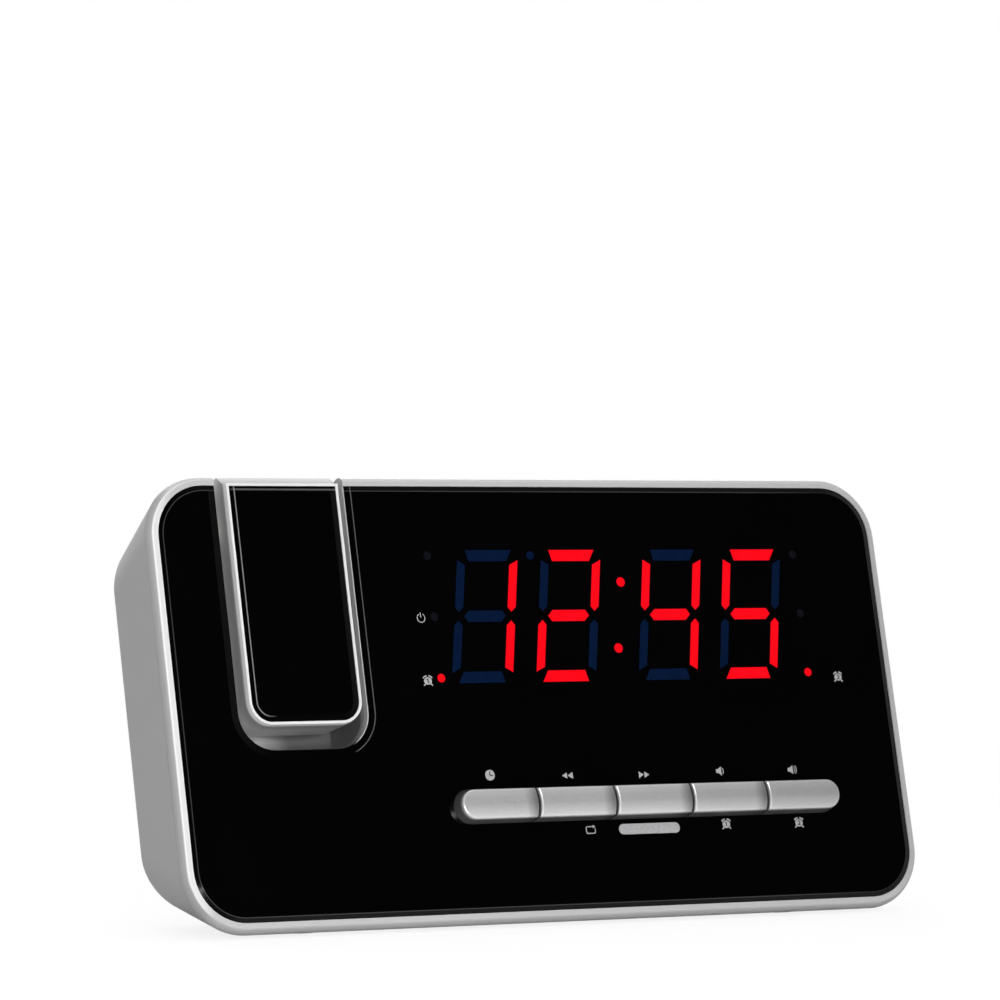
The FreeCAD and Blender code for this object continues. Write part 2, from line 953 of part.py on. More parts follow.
# Top keys: drawn flat in a frame of their own, x along the clock, y to the back, z out of the top

def top_placement():
    return Placement(
        Vector(0, case_top(-top_key_depth), -top_key_depth),
        Rotation(Vector(1, 0, 0), -(90 + top_angle)))


def on_top(shape):
    placed = shape.copy()
    placed.Placement = top_placement().multiply(placed.Placement)
    return placed


def top_key_form(x, half_length, half_width, proud, crown):
    """Cap with a crowned top, a flange under the casing and a stem over its switch."""
    r = half_width

    def outline(grow, z):
        return rounded_outline(
            x - half_length - grow, x + half_length + grow,
            -half_width - grow, half_width + grow, r + grow, z)

    low = -case_wall - top_flange_gap
    cap = prism(outline(0, low), proud - crown - low)
    crown_part = ruled_solid(outline(0, proud - crown), outline(-crown * crown_run, proud))
    flange = prism(outline(top_flange, low - top_flange_thickness), top_flange_thickness)
    stem_top = low - top_flange_thickness
    stem = rod(top_stem_radius, x, 0, stem_top - top_stem_length, stem_top)
    return join([cap, crown_part, flange, stem])


def top_board_face():
    stem_end = -case_wall - top_flange_gap - top_flange_thickness - top_stem_length
    plunger_top = stem_end - max(snooze_travel, round_key_travel) - press_gap
    return plunger_top - plunger_height - switch_height


def make_top_keys():
    r = round_key_radius
    return {
        "snooze_bar": on_top(top_key_form(
            snooze_centre_x, snooze_length / 2, snooze_width / 2, snooze_proud, snooze_crown)),
        "projection_key": on_top(top_key_form(
            projection_key_x, r, r, round_key_proud, round_key_crown)),
        "power_key": on_top(top_key_form(
            power_key_x, r, r, round_key_proud, round_key_crown)),
    }


def top_key_holes():
    low = -case_wall * 3
    holes = []
    for x, half_length, half_width in (
            (snooze_centre_x, snooze_length / 2, snooze_width / 2),
            (projection_key_x, round_key_radius, round_key_radius),
            (power_key_x, round_key_radius, round_key_radius)):
        g = top_key_gap
        holes.append(on_top(prism(rounded_outline(
            x - half_length - g, x + half_length + g, -half_width - g, half_width + g,
            half_width + g, low), case_wall * 5)))
    return holes


def make_top_board():
    half = top_board_width / 2
    face = top_board_face()
    plate = block(top_board_left, top_board_right, -half, half, face - board_thickness, face)
    for x in top_boss_places:
        plate = plate.cut(rod(
            small_screw_radius + 2 * screw_clearance, x, 0, face - board_thickness - 1, face + 1))
    return on_top(plate)


def make_top_switches():
    places = (snooze_centre_x, projection_key_x, power_key_x)
    return Part.makeCompound([on_top(tact_switch(x, 0, top_board_face())) for x in places])


# Rear casing

def case_boss_places():
    """Screws that reach the bezel; the fourth one holds the well."""
    return [
        (-case_screw_x, case_screw_low_y), (case_screw_x, case_screw_low_y),
        (case_screw_x, case_screw_high_y),
    ]


def case_screw_places():
    return case_boss_places() + [(arm_centre_x, well_screw_y)]


def make_rear_casing():
    outer = case_form(0, -band_depth, -case_depth, case_edge_round)
    inner = case_form(case_wall, 1.0, case_floor_z, case_inner_round)
    shell = outer.cut(inner)
    floor = case_floor_z
    posts = []
    for x, y in main_boss_places():
        posts.append(rod(
            main_boss_radius, x, y, floor - join_overlap, -main_board_depth - board_thickness))
    for x, y in case_screw_places():
        posts.append(rod(
            screw_head_radius + screw_recess_wall, x, y, floor - join_overlap, -case_boss_split - seam_gap))
    for x in top_boss_places:
        posts.append(on_top(rod(top_boss_radius, x, 0, top_board_face(), -case_wall + join_overlap)))
    inner_r = speaker_radius + speaker_gap
    rib = rod(inner_r + speaker_rib, speaker_x, speaker_y, floor - join_overlap, floor + speaker_rib_height)
    rib = rib.cut(rod(inner_r, speaker_x, speaker_y, floor - 1, floor + speaker_rib_height + 1))
    posts.append(rib.common(case_form(case_wall / 2, 1.0, floor - 1, case_inner_round)))
    shell = join([shell] + posts)
    cuts = []
    for x, y in main_boss_places():
        cuts.append(rod(pilot_radius, x, y, floor + main_boss_floor, 0))
    for x, y in case_screw_places():
        cuts.append(rod(screw_radius + screw_clearance, x, y, -case_depth - 1, 0))
        cuts.append(rod(screw_head_radius + screw_clearance * 2, x, y,
                        -case_depth - 1, -case_depth + screw_recess))
    for x in top_boss_places:
        cuts.append(on_top(rod(
            pilot_radius, x, 0, top_board_face() - 1, top_board_face() + small_screw_length)))
    cuts.extend(top_key_holes())
    cuts.extend(grille_slots())
    cuts.append(rod(jack_mouth_radius, jack_x, jack_y, -case_depth - 1, floor + join_overlap))
    half_w = door_width / 2 + door_gap
    half_h = door_height / 2 + door_gap
    cuts.append(block(cell_x - half_w, cell_x + half_w, cell_y - half_h, cell_y + half_h,
                      -case_depth - 1, -case_depth + door_thickness))
    cuts.append(block(
        cell_x - half_w + door_ledge, cell_x + half_w - door_ledge,
        cell_y - half_h + door_ledge, cell_y + half_h - door_ledge, -case_depth - 1, floor + join_overlap))
    cuts.append(well_form(well_wall + seam_gap, well_front + web_gap))
    cuts.append(pocket_form(notch_gap, well_front, 0))
    for cutter in cuts:
        shell = shell.cut(cutter)
    return shell


def grille_slots():
    """Level slots whose ends lie on a circle in front of the speaker."""
    slots = []
    count = int(grille_radius / grille_pitch)
    for i in range(-count, count + 1):
        y = speaker_y + i * grille_pitch
        half = math.sqrt(grille_radius ** 2 - (i * grille_pitch) ** 2)
        r = grille_slot / 2
        if half > 2 * r:
            slots.append(prism(rounded_outline(
                speaker_x - half, speaker_x + half, y - r, y + r, r * full_round_share,
                -case_depth - 1), case_wall + 2))
    return slots


# Speaker

def turned(points, x, y):
    """Solid turned about a line along z; points are (radius, z)."""
    corners = [Vector(x + r, y, z) for r, z in points]
    face = Part.Face(Part.makePolygon(corners + [corners[0]]))
    return face.revolve(Vector(x, y, 0), Vector(0, 0, 1), 360)


def make_speaker():
    front = case_floor_z + speaker_seat_gap
    back = front + speaker_depth - magnet_height
    r = speaker_radius
    t = speaker_sheet
    neck = r - speaker_flange_width
    pole = magnet_radius + t
    basket = turned([
        (r, front), (r, front + t), (neck, front + t), (pole + t / 2, back),
        (speaker_pole_bore, back), (speaker_pole_bore, back - t), (pole - t / 2, back - t),
        (neck - t, front + t / 2), (neck - t, front),
    ], speaker_x, speaker_y)
    magnet = rod(magnet_radius, speaker_x, speaker_y, back, back + magnet_height)
    rim = neck - t - cone_rim_gap
    low = front + cone_rim_rise
    deep = front + cone_depth
    cone = turned([
        (0.0, deep), (cone_cap_radius, deep), (rim, low), (rim, low + cone_thickness),
        (cone_cap_radius, deep + cone_thickness), (0.0, deep + cone_thickness),
    ], speaker_x, speaker_y)
    return {"speaker_basket": basket, "speaker_magnet": magnet, "speaker_cone": cone}


# Power inlet

def make_dc_jack():
    front = case_floor_z + jack_seat_gap
    back = -main_board_depth - board_thickness
    body = block(jack_x - jack_width / 2, jack_x + jack_width / 2,
                 jack_y - jack_height / 2, jack_y + jack_height / 2, front, back)
    nose = rod(
        jack_mouth_radius - jack_seat_gap, jack_x, jack_y, -case_depth + jack_nose_sink, front)
    jack = join([body, nose])
    jack = jack.cut(rod(jack_bore_radius, jack_x, jack_y, -case_depth, front + jack_bore_depth))
    pin = rod(jack_pin_radius, jack_x, jack_y, -case_depth + jack_pin_sink,
              front + jack_bore_depth + jack_seat_gap)
    return join([jack, pin])


# Backup cell and its door

def make_battery_parts():
    floor = case_floor_z
    depth = tray_depth
    half_w = door_width / 2
    half_h = door_height / 2
    door = block(cell_x - half_w, cell_x + half_w, cell_y - half_h, cell_y + half_h,
                 -case_depth, -case_depth + door_thickness)
    sx = cell_x + door_screw_x
    seat = -case_depth + door_screw_sink
    tip = seat + small_screw_length + screw_tip_gap
    door = door.cut(rod(small_screw_radius + screw_clearance, sx, cell_y, -far, far))
    door = door.cut(rod(small_head_radius + screw_clearance, sx, cell_y, -far, seat))
    x0 = cell_x - half_w
    x1 = cell_x + half_w
    y0 = cell_y - half_h
    y1 = cell_y + half_h
    tray = block(x0, x1, y0, y1, floor, floor + depth)
    w = tray_wall
    tray = tray.cut(block(x0 + w, x1 - w, y0 + w, y1 - w, floor - 1, floor + depth - w))
    post = rod(tray_post_radius, sx, cell_y, floor, floor + depth - w)
    post = post.cut(rod(pilot_radius, sx, cell_y, floor - 1, tip))
    tray = join([tray, post])
    cell_top = floor + depth - w
    cell_place = cell_x - cell_offset
    cell = rod(cell_radius, cell_place, cell_y, cell_top - cell_thickness, cell_top)
    c = contact_thickness
    half_c = contact_width / 2
    leaf_z = cell_top - cell_thickness
    leaf = block(x0 + w, cell_place, cell_y - half_c, cell_y + half_c, leaf_z - c, leaf_z)
    riser = block(x0 + w, x0 + w + c, cell_y - half_c, cell_y + half_c, leaf_z - c, cell_top)
    contact = join([leaf, riser])
    screw = small_screw(sx, cell_y, seat, 1)
    return {
        "battery_door": door, "battery_tray": tray, "backup_cell": cell,
        "battery_contact": contact, "door_screw": screw,
    }


# Screws

def small_screw(x, y, seat, way):
    """Screw whose head sits on a face at seat; way is +1 when its thread points to +z."""
    head_end = seat - way * small_head_height
    tip = seat + way * small_screw_length
    head = rod(small_head_radius, x, y, min(seat, head_end), max(seat, head_end))
    shank = rod(small_screw_radius, x, y, min(seat, tip), max(seat, tip))
    return join([head, shank])


def make_board_screws():
    screws = []
    for x, y in front_boss_places():
        screws.append(small_screw(x, y, front_board_front - board_thickness, 1))
    for x, y in main_boss_places():
        screws.append(small_screw(x, y, -main_board_depth, -1))
    for x in top_boss_places:
        screws.append(on_top(small_screw(x, 0, top_board_face() - board_thickness, 1)))
    return Part.makeCompound(screws)


def make_casing_screws():
    screws = []
    seat = -case_depth + screw_recess
    places = [(x, y, seat + screw_length) for x, y in case_boss_places()]
    places.append((arm_centre_x, well_screw_y, well_screw_end() - screw_tip_gap))
    for x, y, tip in places:
        head = rod(screw_head_radius, x, y, seat - screw_head_height, seat)
        screws.append(join([head, rod(screw_radius, x, y, seat, tip)]))
    return Part.makeCompound(screws)


# Feet: upright rubber discs that end on the sloping underside

def make_feet():
    up = Vector(0, math.cos(math.radians(lean_angle)), math.sin(math.radians(lean_angle)))
    case = case_form(0, 0, -case_depth, case_edge_round)
    low = floor_height()
    feet = {}
    for name, depth in (("front_feet", front_foot_depth), ("rear_feet", rear_foot_depth)):
        solids = []
        for x in (-foot_x, foot_x):
            # the point at this depth that lies on the floor
            y = (low + depth * math.sin(math.radians(lean_angle))) / up.y
            foot = Part.makeCylinder(foot_radius, 12, Vector(x, y, -depth), up)
            solids.append(foot.cut(case))
        feet[name] = Part.makeCompound(solids)
    return feet


def floor_height():
    """Room height of the floor below the panel's middle: a little under the bezel's low edge."""
    lean = math.radians(lean_angle)
    low_y = case_limits(-band_depth, 0)[2]
    return low_y * math.cos(lean) - band_depth * math.sin(lean) - floor_gap


# Projector arm

def make_arm_shells():
    half, bottom, r = arm_limit(0)
    top = case_top(-band_depth) - band_width + arm_top_step
    c = arm_chamfer
    nose = ruled_solid(
        cup_outline(arm_centre_x, half, bottom, top, r, 0),
        cup_outline(arm_centre_x, half - c, bottom + c, top - c, r - c, arm_front))
    front_shell = join([arm_form(0, arm_split, 0), nose])

    def opening(inset, z0, z1):
        return prism(cup_outline(arm_centre_x, half - inset, bottom + inset, top - inset,
                                 max(r - inset, least_corner), z0), z1 - z0)

    seat_z = arm_front - insert_thickness
    ledge_z = seat_z - insert_ledge_thickness
    front_shell = front_shell.cut(opening(insert_margin, seat_z, far))
    front_shell = front_shell.cut(opening(insert_ledge, ledge_z, far))
    front_shell = front_shell.cut(arm_form(arm_wall, arm_back, ledge_z))
    rear_shell = arm_form(0, arm_back, arm_split).cut(arm_form(arm_wall, arm_back + arm_wall, far))
    hole = rod_y(ring_radius + ring_hole_gap, pivot_y, far, arm_centre_x, optic_z)
    front_shell = front_shell.cut(hole)
    rear_shell = rear_shell.cut(hole)
    pieces = [rear_shell]
    for side in (-1, 1):
        outer_x = arm_centre_x + side * (arm_half - join_overlap)
        inner_x = arm_centre_x + side * (arm_half - pin_inner_length)
        boss = rod_x(
            pin_radius + pin_boss_wall, min(outer_x, inner_x), max(outer_x, inner_x),
            pivot_y, pivot_z)
        pieces.append(boss.common(block(-far, far, -far, far, -far, arm_split)))
        pieces.append(arm_screw_post(side, arm_back + join_overlap, arm_split))
        x = arm_centre_x + side * led_rest_x
        half_rest = led_rest_width / 2
        pieces.append(block(
            x - half_rest, x + half_rest, arm_bottom + arm_wall / 2,
            arm_bottom + arm_wall + led_board_rise, optic_z - half_rest, optic_z + half_rest))
    rear_shell = join(pieces)
    rear_shell = rear_shell.common(arm_form(0, arm_back, arm_split))
    rear_shell = rear_shell.cut(rod_x(
        pin_radius + pin_fit, arm_centre_x - far, arm_centre_x + far, pivot_y, pivot_z))
    front_shell = join(
        [front_shell] + [arm_screw_post(s, arm_split, seat_z - arm_post_gap) for s in (-1, 1)])
    for side in (-1, 1):
        x, y = arm_screw_place(side)
        rear_shell = rear_shell.cut(rod(small_screw_radius + screw_clearance, x, y, -far, far))
        rear_shell = rear_shell.cut(rod(
            small_head_radius + screw_clearance, x, y, -far, arm_screw_seat()))
        front_shell = front_shell.cut(rod(
            pilot_radius, x, y, -far, arm_split + arm_screw_bite + screw_tip_gap))
    return {"arm_front_shell": front_shell, "arm_rear_shell": rear_shell}


def arm_screw_place(side):
    return arm_centre_x + side * (arm_half - arm_screw_inset), arm_bottom + arm_screw_rise


def arm_screw_seat():
    return arm_split - small_screw_length + arm_screw_bite


def arm_screw_post(side, z0, z1):
    x, y = arm_screw_place(side)
    return rod(arm_screw_post_radius, x, y, z0, z1)


def make_arm_screws():
    screws = []
    for side in (-1, 1):
        x, y = arm_screw_place(side)
        screws.append(small_screw(x, y, arm_screw_seat(), 1))
    return Part.makeCompound(screws)


def make_arm_insert():
    half, bottom, r = arm_limit(insert_margin + insert_gap)
    top = case_top(-band_depth) - band_width + arm_top_step - insert_margin - insert_gap
    b = insert_bevel
    low = arm_front - insert_bevel_drop
    plate = prism(
        cup_outline(arm_centre_x, half, bottom, top, r, arm_front - insert_thickness),
        insert_thickness - insert_bevel_drop)
    face = ruled_solid(
        cup_outline(arm_centre_x, half, bottom, top, r, low),
        cup_outline(arm_centre_x, half - b, bottom + b, top - b, r - b, arm_front))
    return join([plate, face])


def make_pivot():
    pins = []
    washers = []
    wall_out = well_half + well_wall
    inner = arm_half - pin_inner_length
    for side in (-1, 1):
        def along(a, b):
            ends = (arm_centre_x + side * a, arm_centre_x + side * b)
            return min(ends), max(ends)

        x0, x1 = along(inner, wall_out + washer_gap)
        h0, h1 = along(wall_out + washer_gap, wall_out + washer_gap + pin_head_thickness)
        pin = join([
            rod_x(pin_radius, x0, x1, pivot_y, pivot_z),
            rod_x(pin_head_radius, h0, h1, pivot_y, pivot_z),
        ])
        pins.append(pin.cut(rod_x(pin_bore, x0 - far, x1 + far, pivot_y, pivot_z)))
        w0, w1 = along(arm_half, well_half - hinge_boss_height - washer_gap)
        washer = rod_x(washer_radius, w0, w1, pivot_y, pivot_z)
        washers.append(washer.cut(rod_x(
            pin_radius + running_gap, w0 - 1, w1 + 1, pivot_y, pivot_z)))
    return {
        "pivot_pins": Part.makeCompound(pins), "pivot_washers": Part.makeCompound(washers),
    }


def led_board_top():
    return arm_bottom + arm_wall + led_board_rise + led_board_thickness


def make_optics():
    x = arm_centre_x
    z = optic_z
    base = led_board_top()
    board_w = led_board_width / 2
    board_d = led_board_depth / 2
    led_board = block(
        x - board_w, x + board_w, base - led_board_thickness, base, z - board_d, z + board_d)
    led = join([
        rod_y(led_radius, base, base + led_height - led_radius, x, z),
        Part.makeSphere(led_radius, Vector(x, base + led_height - led_radius, z)),
    ])
    led = led.common(block(
        x - board_w, x + board_w, base, base + led_height, z - board_d, z + board_d))
    half_w = lamp_box_width / 2
    half_d = lamp_box_depth / 2
    top = base + lamp_box_height
    w = lamp_box_wall
    box = block(x - half_w, x + half_w, base, top, z - half_d, z + half_d)
    box = box.cut(block(
        x - half_w + w, x + half_w - w, base - 1, top - lamp_box_cap,
        z - half_d + w, z + half_d - w))
    bore = barrel_radius + optic_gap * 2
    ring_low = ring_top_y() - ring_height
    tube_top = ring_low - washer_gap
    tube = rod_y(bore + holder_tube_wall, top - join_overlap, tube_top, x, z)
    holder = join([box, tube]).cut(rod_y(bore, top - lamp_box_cap - 1, tube_top + 1, x, z))
    condenser = make_lens(half_d - w - optic_gap, condenser_thickness, base + condenser_height)
    slide = block(
        x - half_w + w + optic_gap, x + half_w - w - optic_gap,
        base + slide_height, base + slide_height + slide_thickness,
        z - half_d + w + optic_gap, z + half_d - w - optic_gap)
    barrel_top = ring_top_y() - barrel_sink
    barrel = rod_y(barrel_radius, barrel_top - barrel_length, barrel_top, x, z)
    barrel = barrel.cut(rod_y(barrel_bore, barrel_top - barrel_length - 1, barrel_top + 1, x, z))
    lens = make_lens(
        barrel_bore - optic_gap, lens_thickness, barrel_top - lens_sink - lens_thickness)
    return {
        "led_board": led_board, "projector_led": led, "optics_holder": holder,
        "condenser_lens": condenser, "lcd_slide": slide, "lens_barrel": barrel,
        "projection_lens": lens, "focus_ring": make_focus_ring(),
    }


def make_lens(r, thickness, y):
    """Lens on the optical axis: a flat lower face and a domed upper face over a straight edge."""
    x = arm_centre_x
    z = optic_z
    edge = lens_edge
    rise = thickness - edge
    dome = (r * r + rise * rise) / (2 * rise)
    a = Vector(x, y, z)
    b = Vector(x + r, y, z)
    c = Vector(x + r, y + edge, z)
    top = Vector(x, y + thickness, z)
    half_angle = math.asin(r / dome) / 2
    mid = Vector(
        x + dome * math.sin(half_angle),
        y + thickness - dome + dome * math.cos(half_angle), z)
    face = closed_face([line(a, b), line(b, c), arc(c, mid, top), line(top, a)])
    return face.revolve(Vector(x, 0, z), Vector(0, 1, 0), 360)


def make_focus_ring():
    x = arm_centre_x
    z = optic_z
    top = ring_top_y()
    low = top - ring_height
    ring = join([
        rod_y(ring_radius, low, top, x, z),
        rod_y(ring_flange_radius, low, low + ring_flange_height, x, z),
    ])
    ring = ring.cut(rod_y(barrel_radius + optic_gap * 2, low - 1, top + 1, x, z))
    for i in range(ring_grips):
        a = 2 * math.pi * i / ring_grips
        reach = ring_radius + grip_rise
        ring = ring.cut(rod_y(
            grip_radius, low + ring_flange_height + grip_start, top + 1,
            x + reach * math.cos(a), z + reach * math.sin(a)))
    return ring


# The whole clock

def make_clock():
    clock = {
        "front_bezel": make_front_bezel(),
        "front_panel": make_front_panel(),
        "rear_casing": make_rear_casing(),
        "projector_well": make_projector_well(),
        "lit_segments": Part.makeCompound(lit_bars()),
        "unlit_segments": Part.makeCompound(unlit_bars()),
        "display_block": make_display_block(),
        "front_board": make_front_board(),
        "key_switches": make_key_switches(),
        "top_board": make_top_board(),
        "top_switches": make_top_switches(),
        "main_board": make_main_board(),
        "board_parts": make_board_parts(),
        "board_connectors": make_board_connectors(),
        "ribbon_cable": make_ribbon_cable(),
        "dc_jack": make_dc_jack(),
        "board_screws": make_board_screws(),
        "casing_screws": make_casing_screws(),
        "arm_insert": make_arm_insert(),
        "arm_screws": make_arm_screws(),
    }
    for group in (make_keys(), make_top_keys(), make_speaker(), make_battery_parts(),
                  make_feet(), make_arm_shells(), make_pivot(), make_optics()):
        clock.update(group)
    return clock


def room_placement(clock):
    """Lean the clock back, centre it over the origin and put its feet on the floor."""
    turn = Placement(Vector(0, 0, 0), Rotation(Vector(1, 0, 0), 90 - lean_angle))
    outside = Part.makeCompound([clock["front_bezel"], clock["rear_casing"], clock["rear_feet"]])
    outside.Placement = turn
    box = outside.optimalBoundingBox(False, False)
    shift = Vector(-(box.XMin + box.XMax) / 2, -(box.YMin + box.YMax) / 2, -box.ZMin)
    return Placement(shift, Rotation(Vector(1, 0, 0), 90 - lean_angle))


def tell(name, placement, point, axis):
    spot = placement.multVec(point)
    way = placement.Rotation.multVec(axis)
    print(name, "at", [round(v, 4) for v in spot], "axis", [round(v, 6) for v in way])


clock = make_clock()
placement = room_placement(clock)
os.makedirs("parts", exist_ok=True)
for name in sorted(clock):
    shape = clock[name]
    shape.Placement = placement.multiply(shape.Placement)
    shape.exportStep("parts/" + name + ".step")
print(len(clock), "pieces")
tell("arm pivot", placement, Vector(arm_centre_x, pivot_y, pivot_z), Vector(-1, 0, 0))
tell("focus axis", placement, Vector(arm_centre_x, ring_top_y(), optic_z), Vector(0, 1, 0))
tell("key press", placement, Vector(strip_centre_x, strip_y, 0), Vector(0, 0, -1))
tell("top key press", placement.multiply(top_placement()), Vector(0, 0, 0), Vector(0, 0, -1))
tell("panel centre", placement, Vector(0, 0, 0), Vector(0, 0, 1))
tell("finger gap", placement,
     Vector(arm_centre_x, arm_bottom - pocket_finger_gap / 2, -2), Vector(0, 0, 1))
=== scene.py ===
import json
import math

import bpy
import numpy as np
from mathutils import Matrix


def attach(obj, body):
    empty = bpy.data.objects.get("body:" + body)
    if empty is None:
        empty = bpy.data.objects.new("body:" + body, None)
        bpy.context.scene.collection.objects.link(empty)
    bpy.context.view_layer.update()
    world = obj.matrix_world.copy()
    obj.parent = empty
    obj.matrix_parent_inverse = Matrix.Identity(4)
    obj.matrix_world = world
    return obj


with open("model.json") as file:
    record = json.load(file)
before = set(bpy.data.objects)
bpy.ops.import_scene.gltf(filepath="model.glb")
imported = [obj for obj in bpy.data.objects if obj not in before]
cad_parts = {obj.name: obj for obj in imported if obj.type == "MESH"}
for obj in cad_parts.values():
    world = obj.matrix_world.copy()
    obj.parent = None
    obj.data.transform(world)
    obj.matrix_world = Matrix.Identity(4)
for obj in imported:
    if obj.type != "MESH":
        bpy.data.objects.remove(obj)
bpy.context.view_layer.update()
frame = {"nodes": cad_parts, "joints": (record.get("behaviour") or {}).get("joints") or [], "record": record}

# Leaning projection clock: black glass-like front, red figures, silver casing, hinged projector arm.
# Lengths in the piece dictionaries are millimetres; mm turns them into metres.
mm = 0.001
nodes = frame["nodes"]


def opaque(colour):
    return (*colour, 1.0)


def grey(value):
    return opaque((value, value, value))


class Tap:
    # wraps one shader socket, so that + - * / on it add Math nodes
    def __init__(self, tree, socket=None):
        self.tree = tree
        self.socket = socket

    def node(self, kind, settings=None, sockets=None, out=0):
        # settings go on first, then socket values or links
        made = self.tree.nodes.new("ShaderNode" + kind)
        for name, value in (settings or {}).items():
            if name == "stops":
                ramp = made.color_ramp
                while len(ramp.elements) < len(value):
                    ramp.elements.new(0.5)
                for element, (spot, colour) in zip(ramp.elements, value):
                    element.position = spot
                    element.color = opaque(colour)
            else:
                setattr(made, name, value)
        for name, value in (sockets or {}).items():
            target = made.inputs[name]
            if isinstance(value, Tap):
                self.tree.links.new(value.socket, target)
            else:
                target.default_value = value
        return Tap(self.tree, made.outputs[out] if len(made.outputs) else None)

    def maths(self, operation, first, second, clamp=False):
        return self.node("Math", {"operation": operation, "use_clamp": clamp}, {0: first, 1: second})

    def __add__(self, other):
        return self.maths("ADD", self, other)

    def __radd__(self, other):
        return self.maths("ADD", other, self)

    def __sub__(self, other):
        return self.maths("SUBTRACT", self, other)

    def __rsub__(self, other):
        return self.maths("SUBTRACT", other, self)

    def __mul__(self, other):
        return self.maths("MULTIPLY", self, other)

    def __rmul__(self, other):
        return self.maths("MULTIPLY", other, self)

    def __truediv__(self, other):
        return self.maths("DIVIDE", self, other)

    def mix(self, first, second):
        # colour between two colours, with this value as the share of the second
        return self.node("Mix", {"data_type": "RGBA"}, {0: self, 6: first, 7: second}, out=2)

    def between(self, first, second):
        # number between two numbers, with this value as the share of the second
        return first + self * (second - first)

    def ramp(self, low, high):
        # 0 below low, 1 above high, straight between
        return self.node("MapRange", {"clamp": True}, {0: self, 1: low, 2: high, 3: 0.0, 4: 1.0})


def startFinish(name):
    material = bpy.data.materials.new(name)
    material.use_nodes = True
    material.node_tree.nodes.clear()
    return material, Tap(material.node_tree)


def endFinish(tap, sockets):
    # one Principled shader to the output
    shader = tap.node("BsdfPrincipled", None, sockets)
    tap.node("OutputMaterial", None, {"Surface": shader})


def objectNoise(tap, scale, detail=2.0, roughness=0.5, stretch=(1.0, 1.0, 1.0)):
    place = tap.node("TexCoord", out=3)
    placed = tap.node("Mapping", None, {"Vector": place, "Scale": stretch})
    return tap.node("TexNoise", None, {"Vector": placed, "Scale": scale, "Detail": detail,
                                       "Roughness": roughness})


def bumped(tap, height, strength, distance):
    return tap.node("Bump", None, {"Height": height, "Strength": strength, "Distance": distance})


def meshPoints(obj):
    flat = np.empty(len(obj.data.vertices) * 3, np.float32)
    obj.data.vertices.foreach_get("co", flat)
    return flat.reshape(-1, 3).astype(float)


pressAxis = next(j["axis"] for j in frame["joints"] if j["name"] == "key_back_press")
outward = -np.array(pressAxis, float) / np.linalg.norm(pressAxis)
across = np.array([1.0, 0.0, 0.0])
upward = np.cross(outward, across)
panelPoints = meshPoints(nodes["front_panel"])
panelMiddle = (
    across * (panelPoints[:, 0].min() + panelPoints[:, 0].max()) / 2
    + upward * ((panelPoints @ upward).min() + (panelPoints @ upward).max()) / 2
    + outward * (panelPoints @ outward).max())


def onPanel(x, y, z):
    # panel millimetres to room metres: middle + across * x + upward * y + outward * z
    x, y, z = np.broadcast_arrays(np.asarray(x, float), y, z)
    return panelMiddle + mm * (x[..., None] * across + y[..., None] * upward + z[..., None] * outward)


def outlineOf(name):
    # limits of a node in panel millimetres: left, right, bottom, top
    offset = (meshPoints(nodes[name]) - panelMiddle) / mm
    x = offset @ across
    y = offset @ upward
    return x.min(), x.max(), y.min(), y.max()


def onFrontPlane(tap):
    # millimetres across, up and out from the middle of the front panel's face
    place = tap.node("TexCoord", out=3)
    offset = tap.node("VectorMath", {"operation": "SUBTRACT"}, {0: place, 1: tuple(panelMiddle)})
    return [tap.node("VectorMath", {"operation": "DOT_PRODUCT"}, {0: offset, 1: tuple(way / mm)}, out=1)
            for way in (across, upward, outward)]


lacquer = {
    "cloud": 28.0, "peel": 900.0, "grain": 5200.0, "flakeShare": 0.55, "cloudShare": 0.45,
    "flakeGloss": 0.10, "cloudGloss": 0.08, "peelShare": 0.6, "grainShare": 0.4,
    "bumpDistance": 0.00006, "coatRoughness": 0.28,
}


def paintedSilver(name, look):
    # metallic lacquer on plastic: fine flakes in colour and gloss over a slight orange peel
    material, tap = startFinish(name)
    place = tap.node("TexCoord", out=3)
    flakes = tap.node("TexVoronoi", {"feature": "F1"}, {"Vector": place, "Scale": look["flakes"]}, out=1)
    sparkle = tap.node("SeparateColor", None, {"Color": flakes})
    cloud = objectNoise(tap, lacquer["cloud"], 3.0)
    share = sparkle * lacquer["flakeShare"] + cloud * lacquer["cloudShare"]
    colour = share.mix(grey(look["dark"]), grey(look["light"]))
    # painted light and shade: a look's tone scales the colour by place on the front
    if "tone" in look:
        tone = look["tone"](*onFrontPlane(tap))
        colour = tap.node("VectorMath", {"operation": "SCALE"}, {0: colour, 3: tone})
    gloss = (look["roughness"] + (sparkle - 0.5) * lacquer["flakeGloss"]
             + (cloud - 0.5) * lacquer["cloudGloss"])
    peel = objectNoise(tap, lacquer["peel"], 2.0)
    grain = objectNoise(tap, lacquer["grain"], 1.0)
    height = peel * lacquer["peelShare"] + grain * lacquer["grainShare"]
    endFinish(tap, {
        "Base Color": colour, "Roughness": gloss, "Metallic": look["metallic"],
        "Normal": bumped(tap, height, look["peel"], lacquer["bumpDistance"]),
        "Coat Weight": look["coat"], "Coat Roughness": lacquer["coatRoughness"],
    })
    return material


def mouldedPlastic(name, look):
    # moulded plastic with a fine spark-eroded grain and faint handling gloss
    material, tap = startFinish(name)
    grain = objectNoise(tap, look["grain"], 3.0, 0.6)
    cloud = objectNoise(tap, 45.0, 3.0)
    dark = tuple(c * 0.82 for c in look["colour"])
    colour = (grain * 0.5 + cloud * 0.5).mix(opaque(dark), opaque(look["colour"]))
    endFinish(tap, {
        "Base Color": colour, "Roughness": look["roughness"] + (cloud - 0.5) * 0.12,
        "Specular IOR Level": look.get("specular", 0.5),
        "Normal": bumped(tap, grain, look["bump"], 0.00008),
    })
    return material


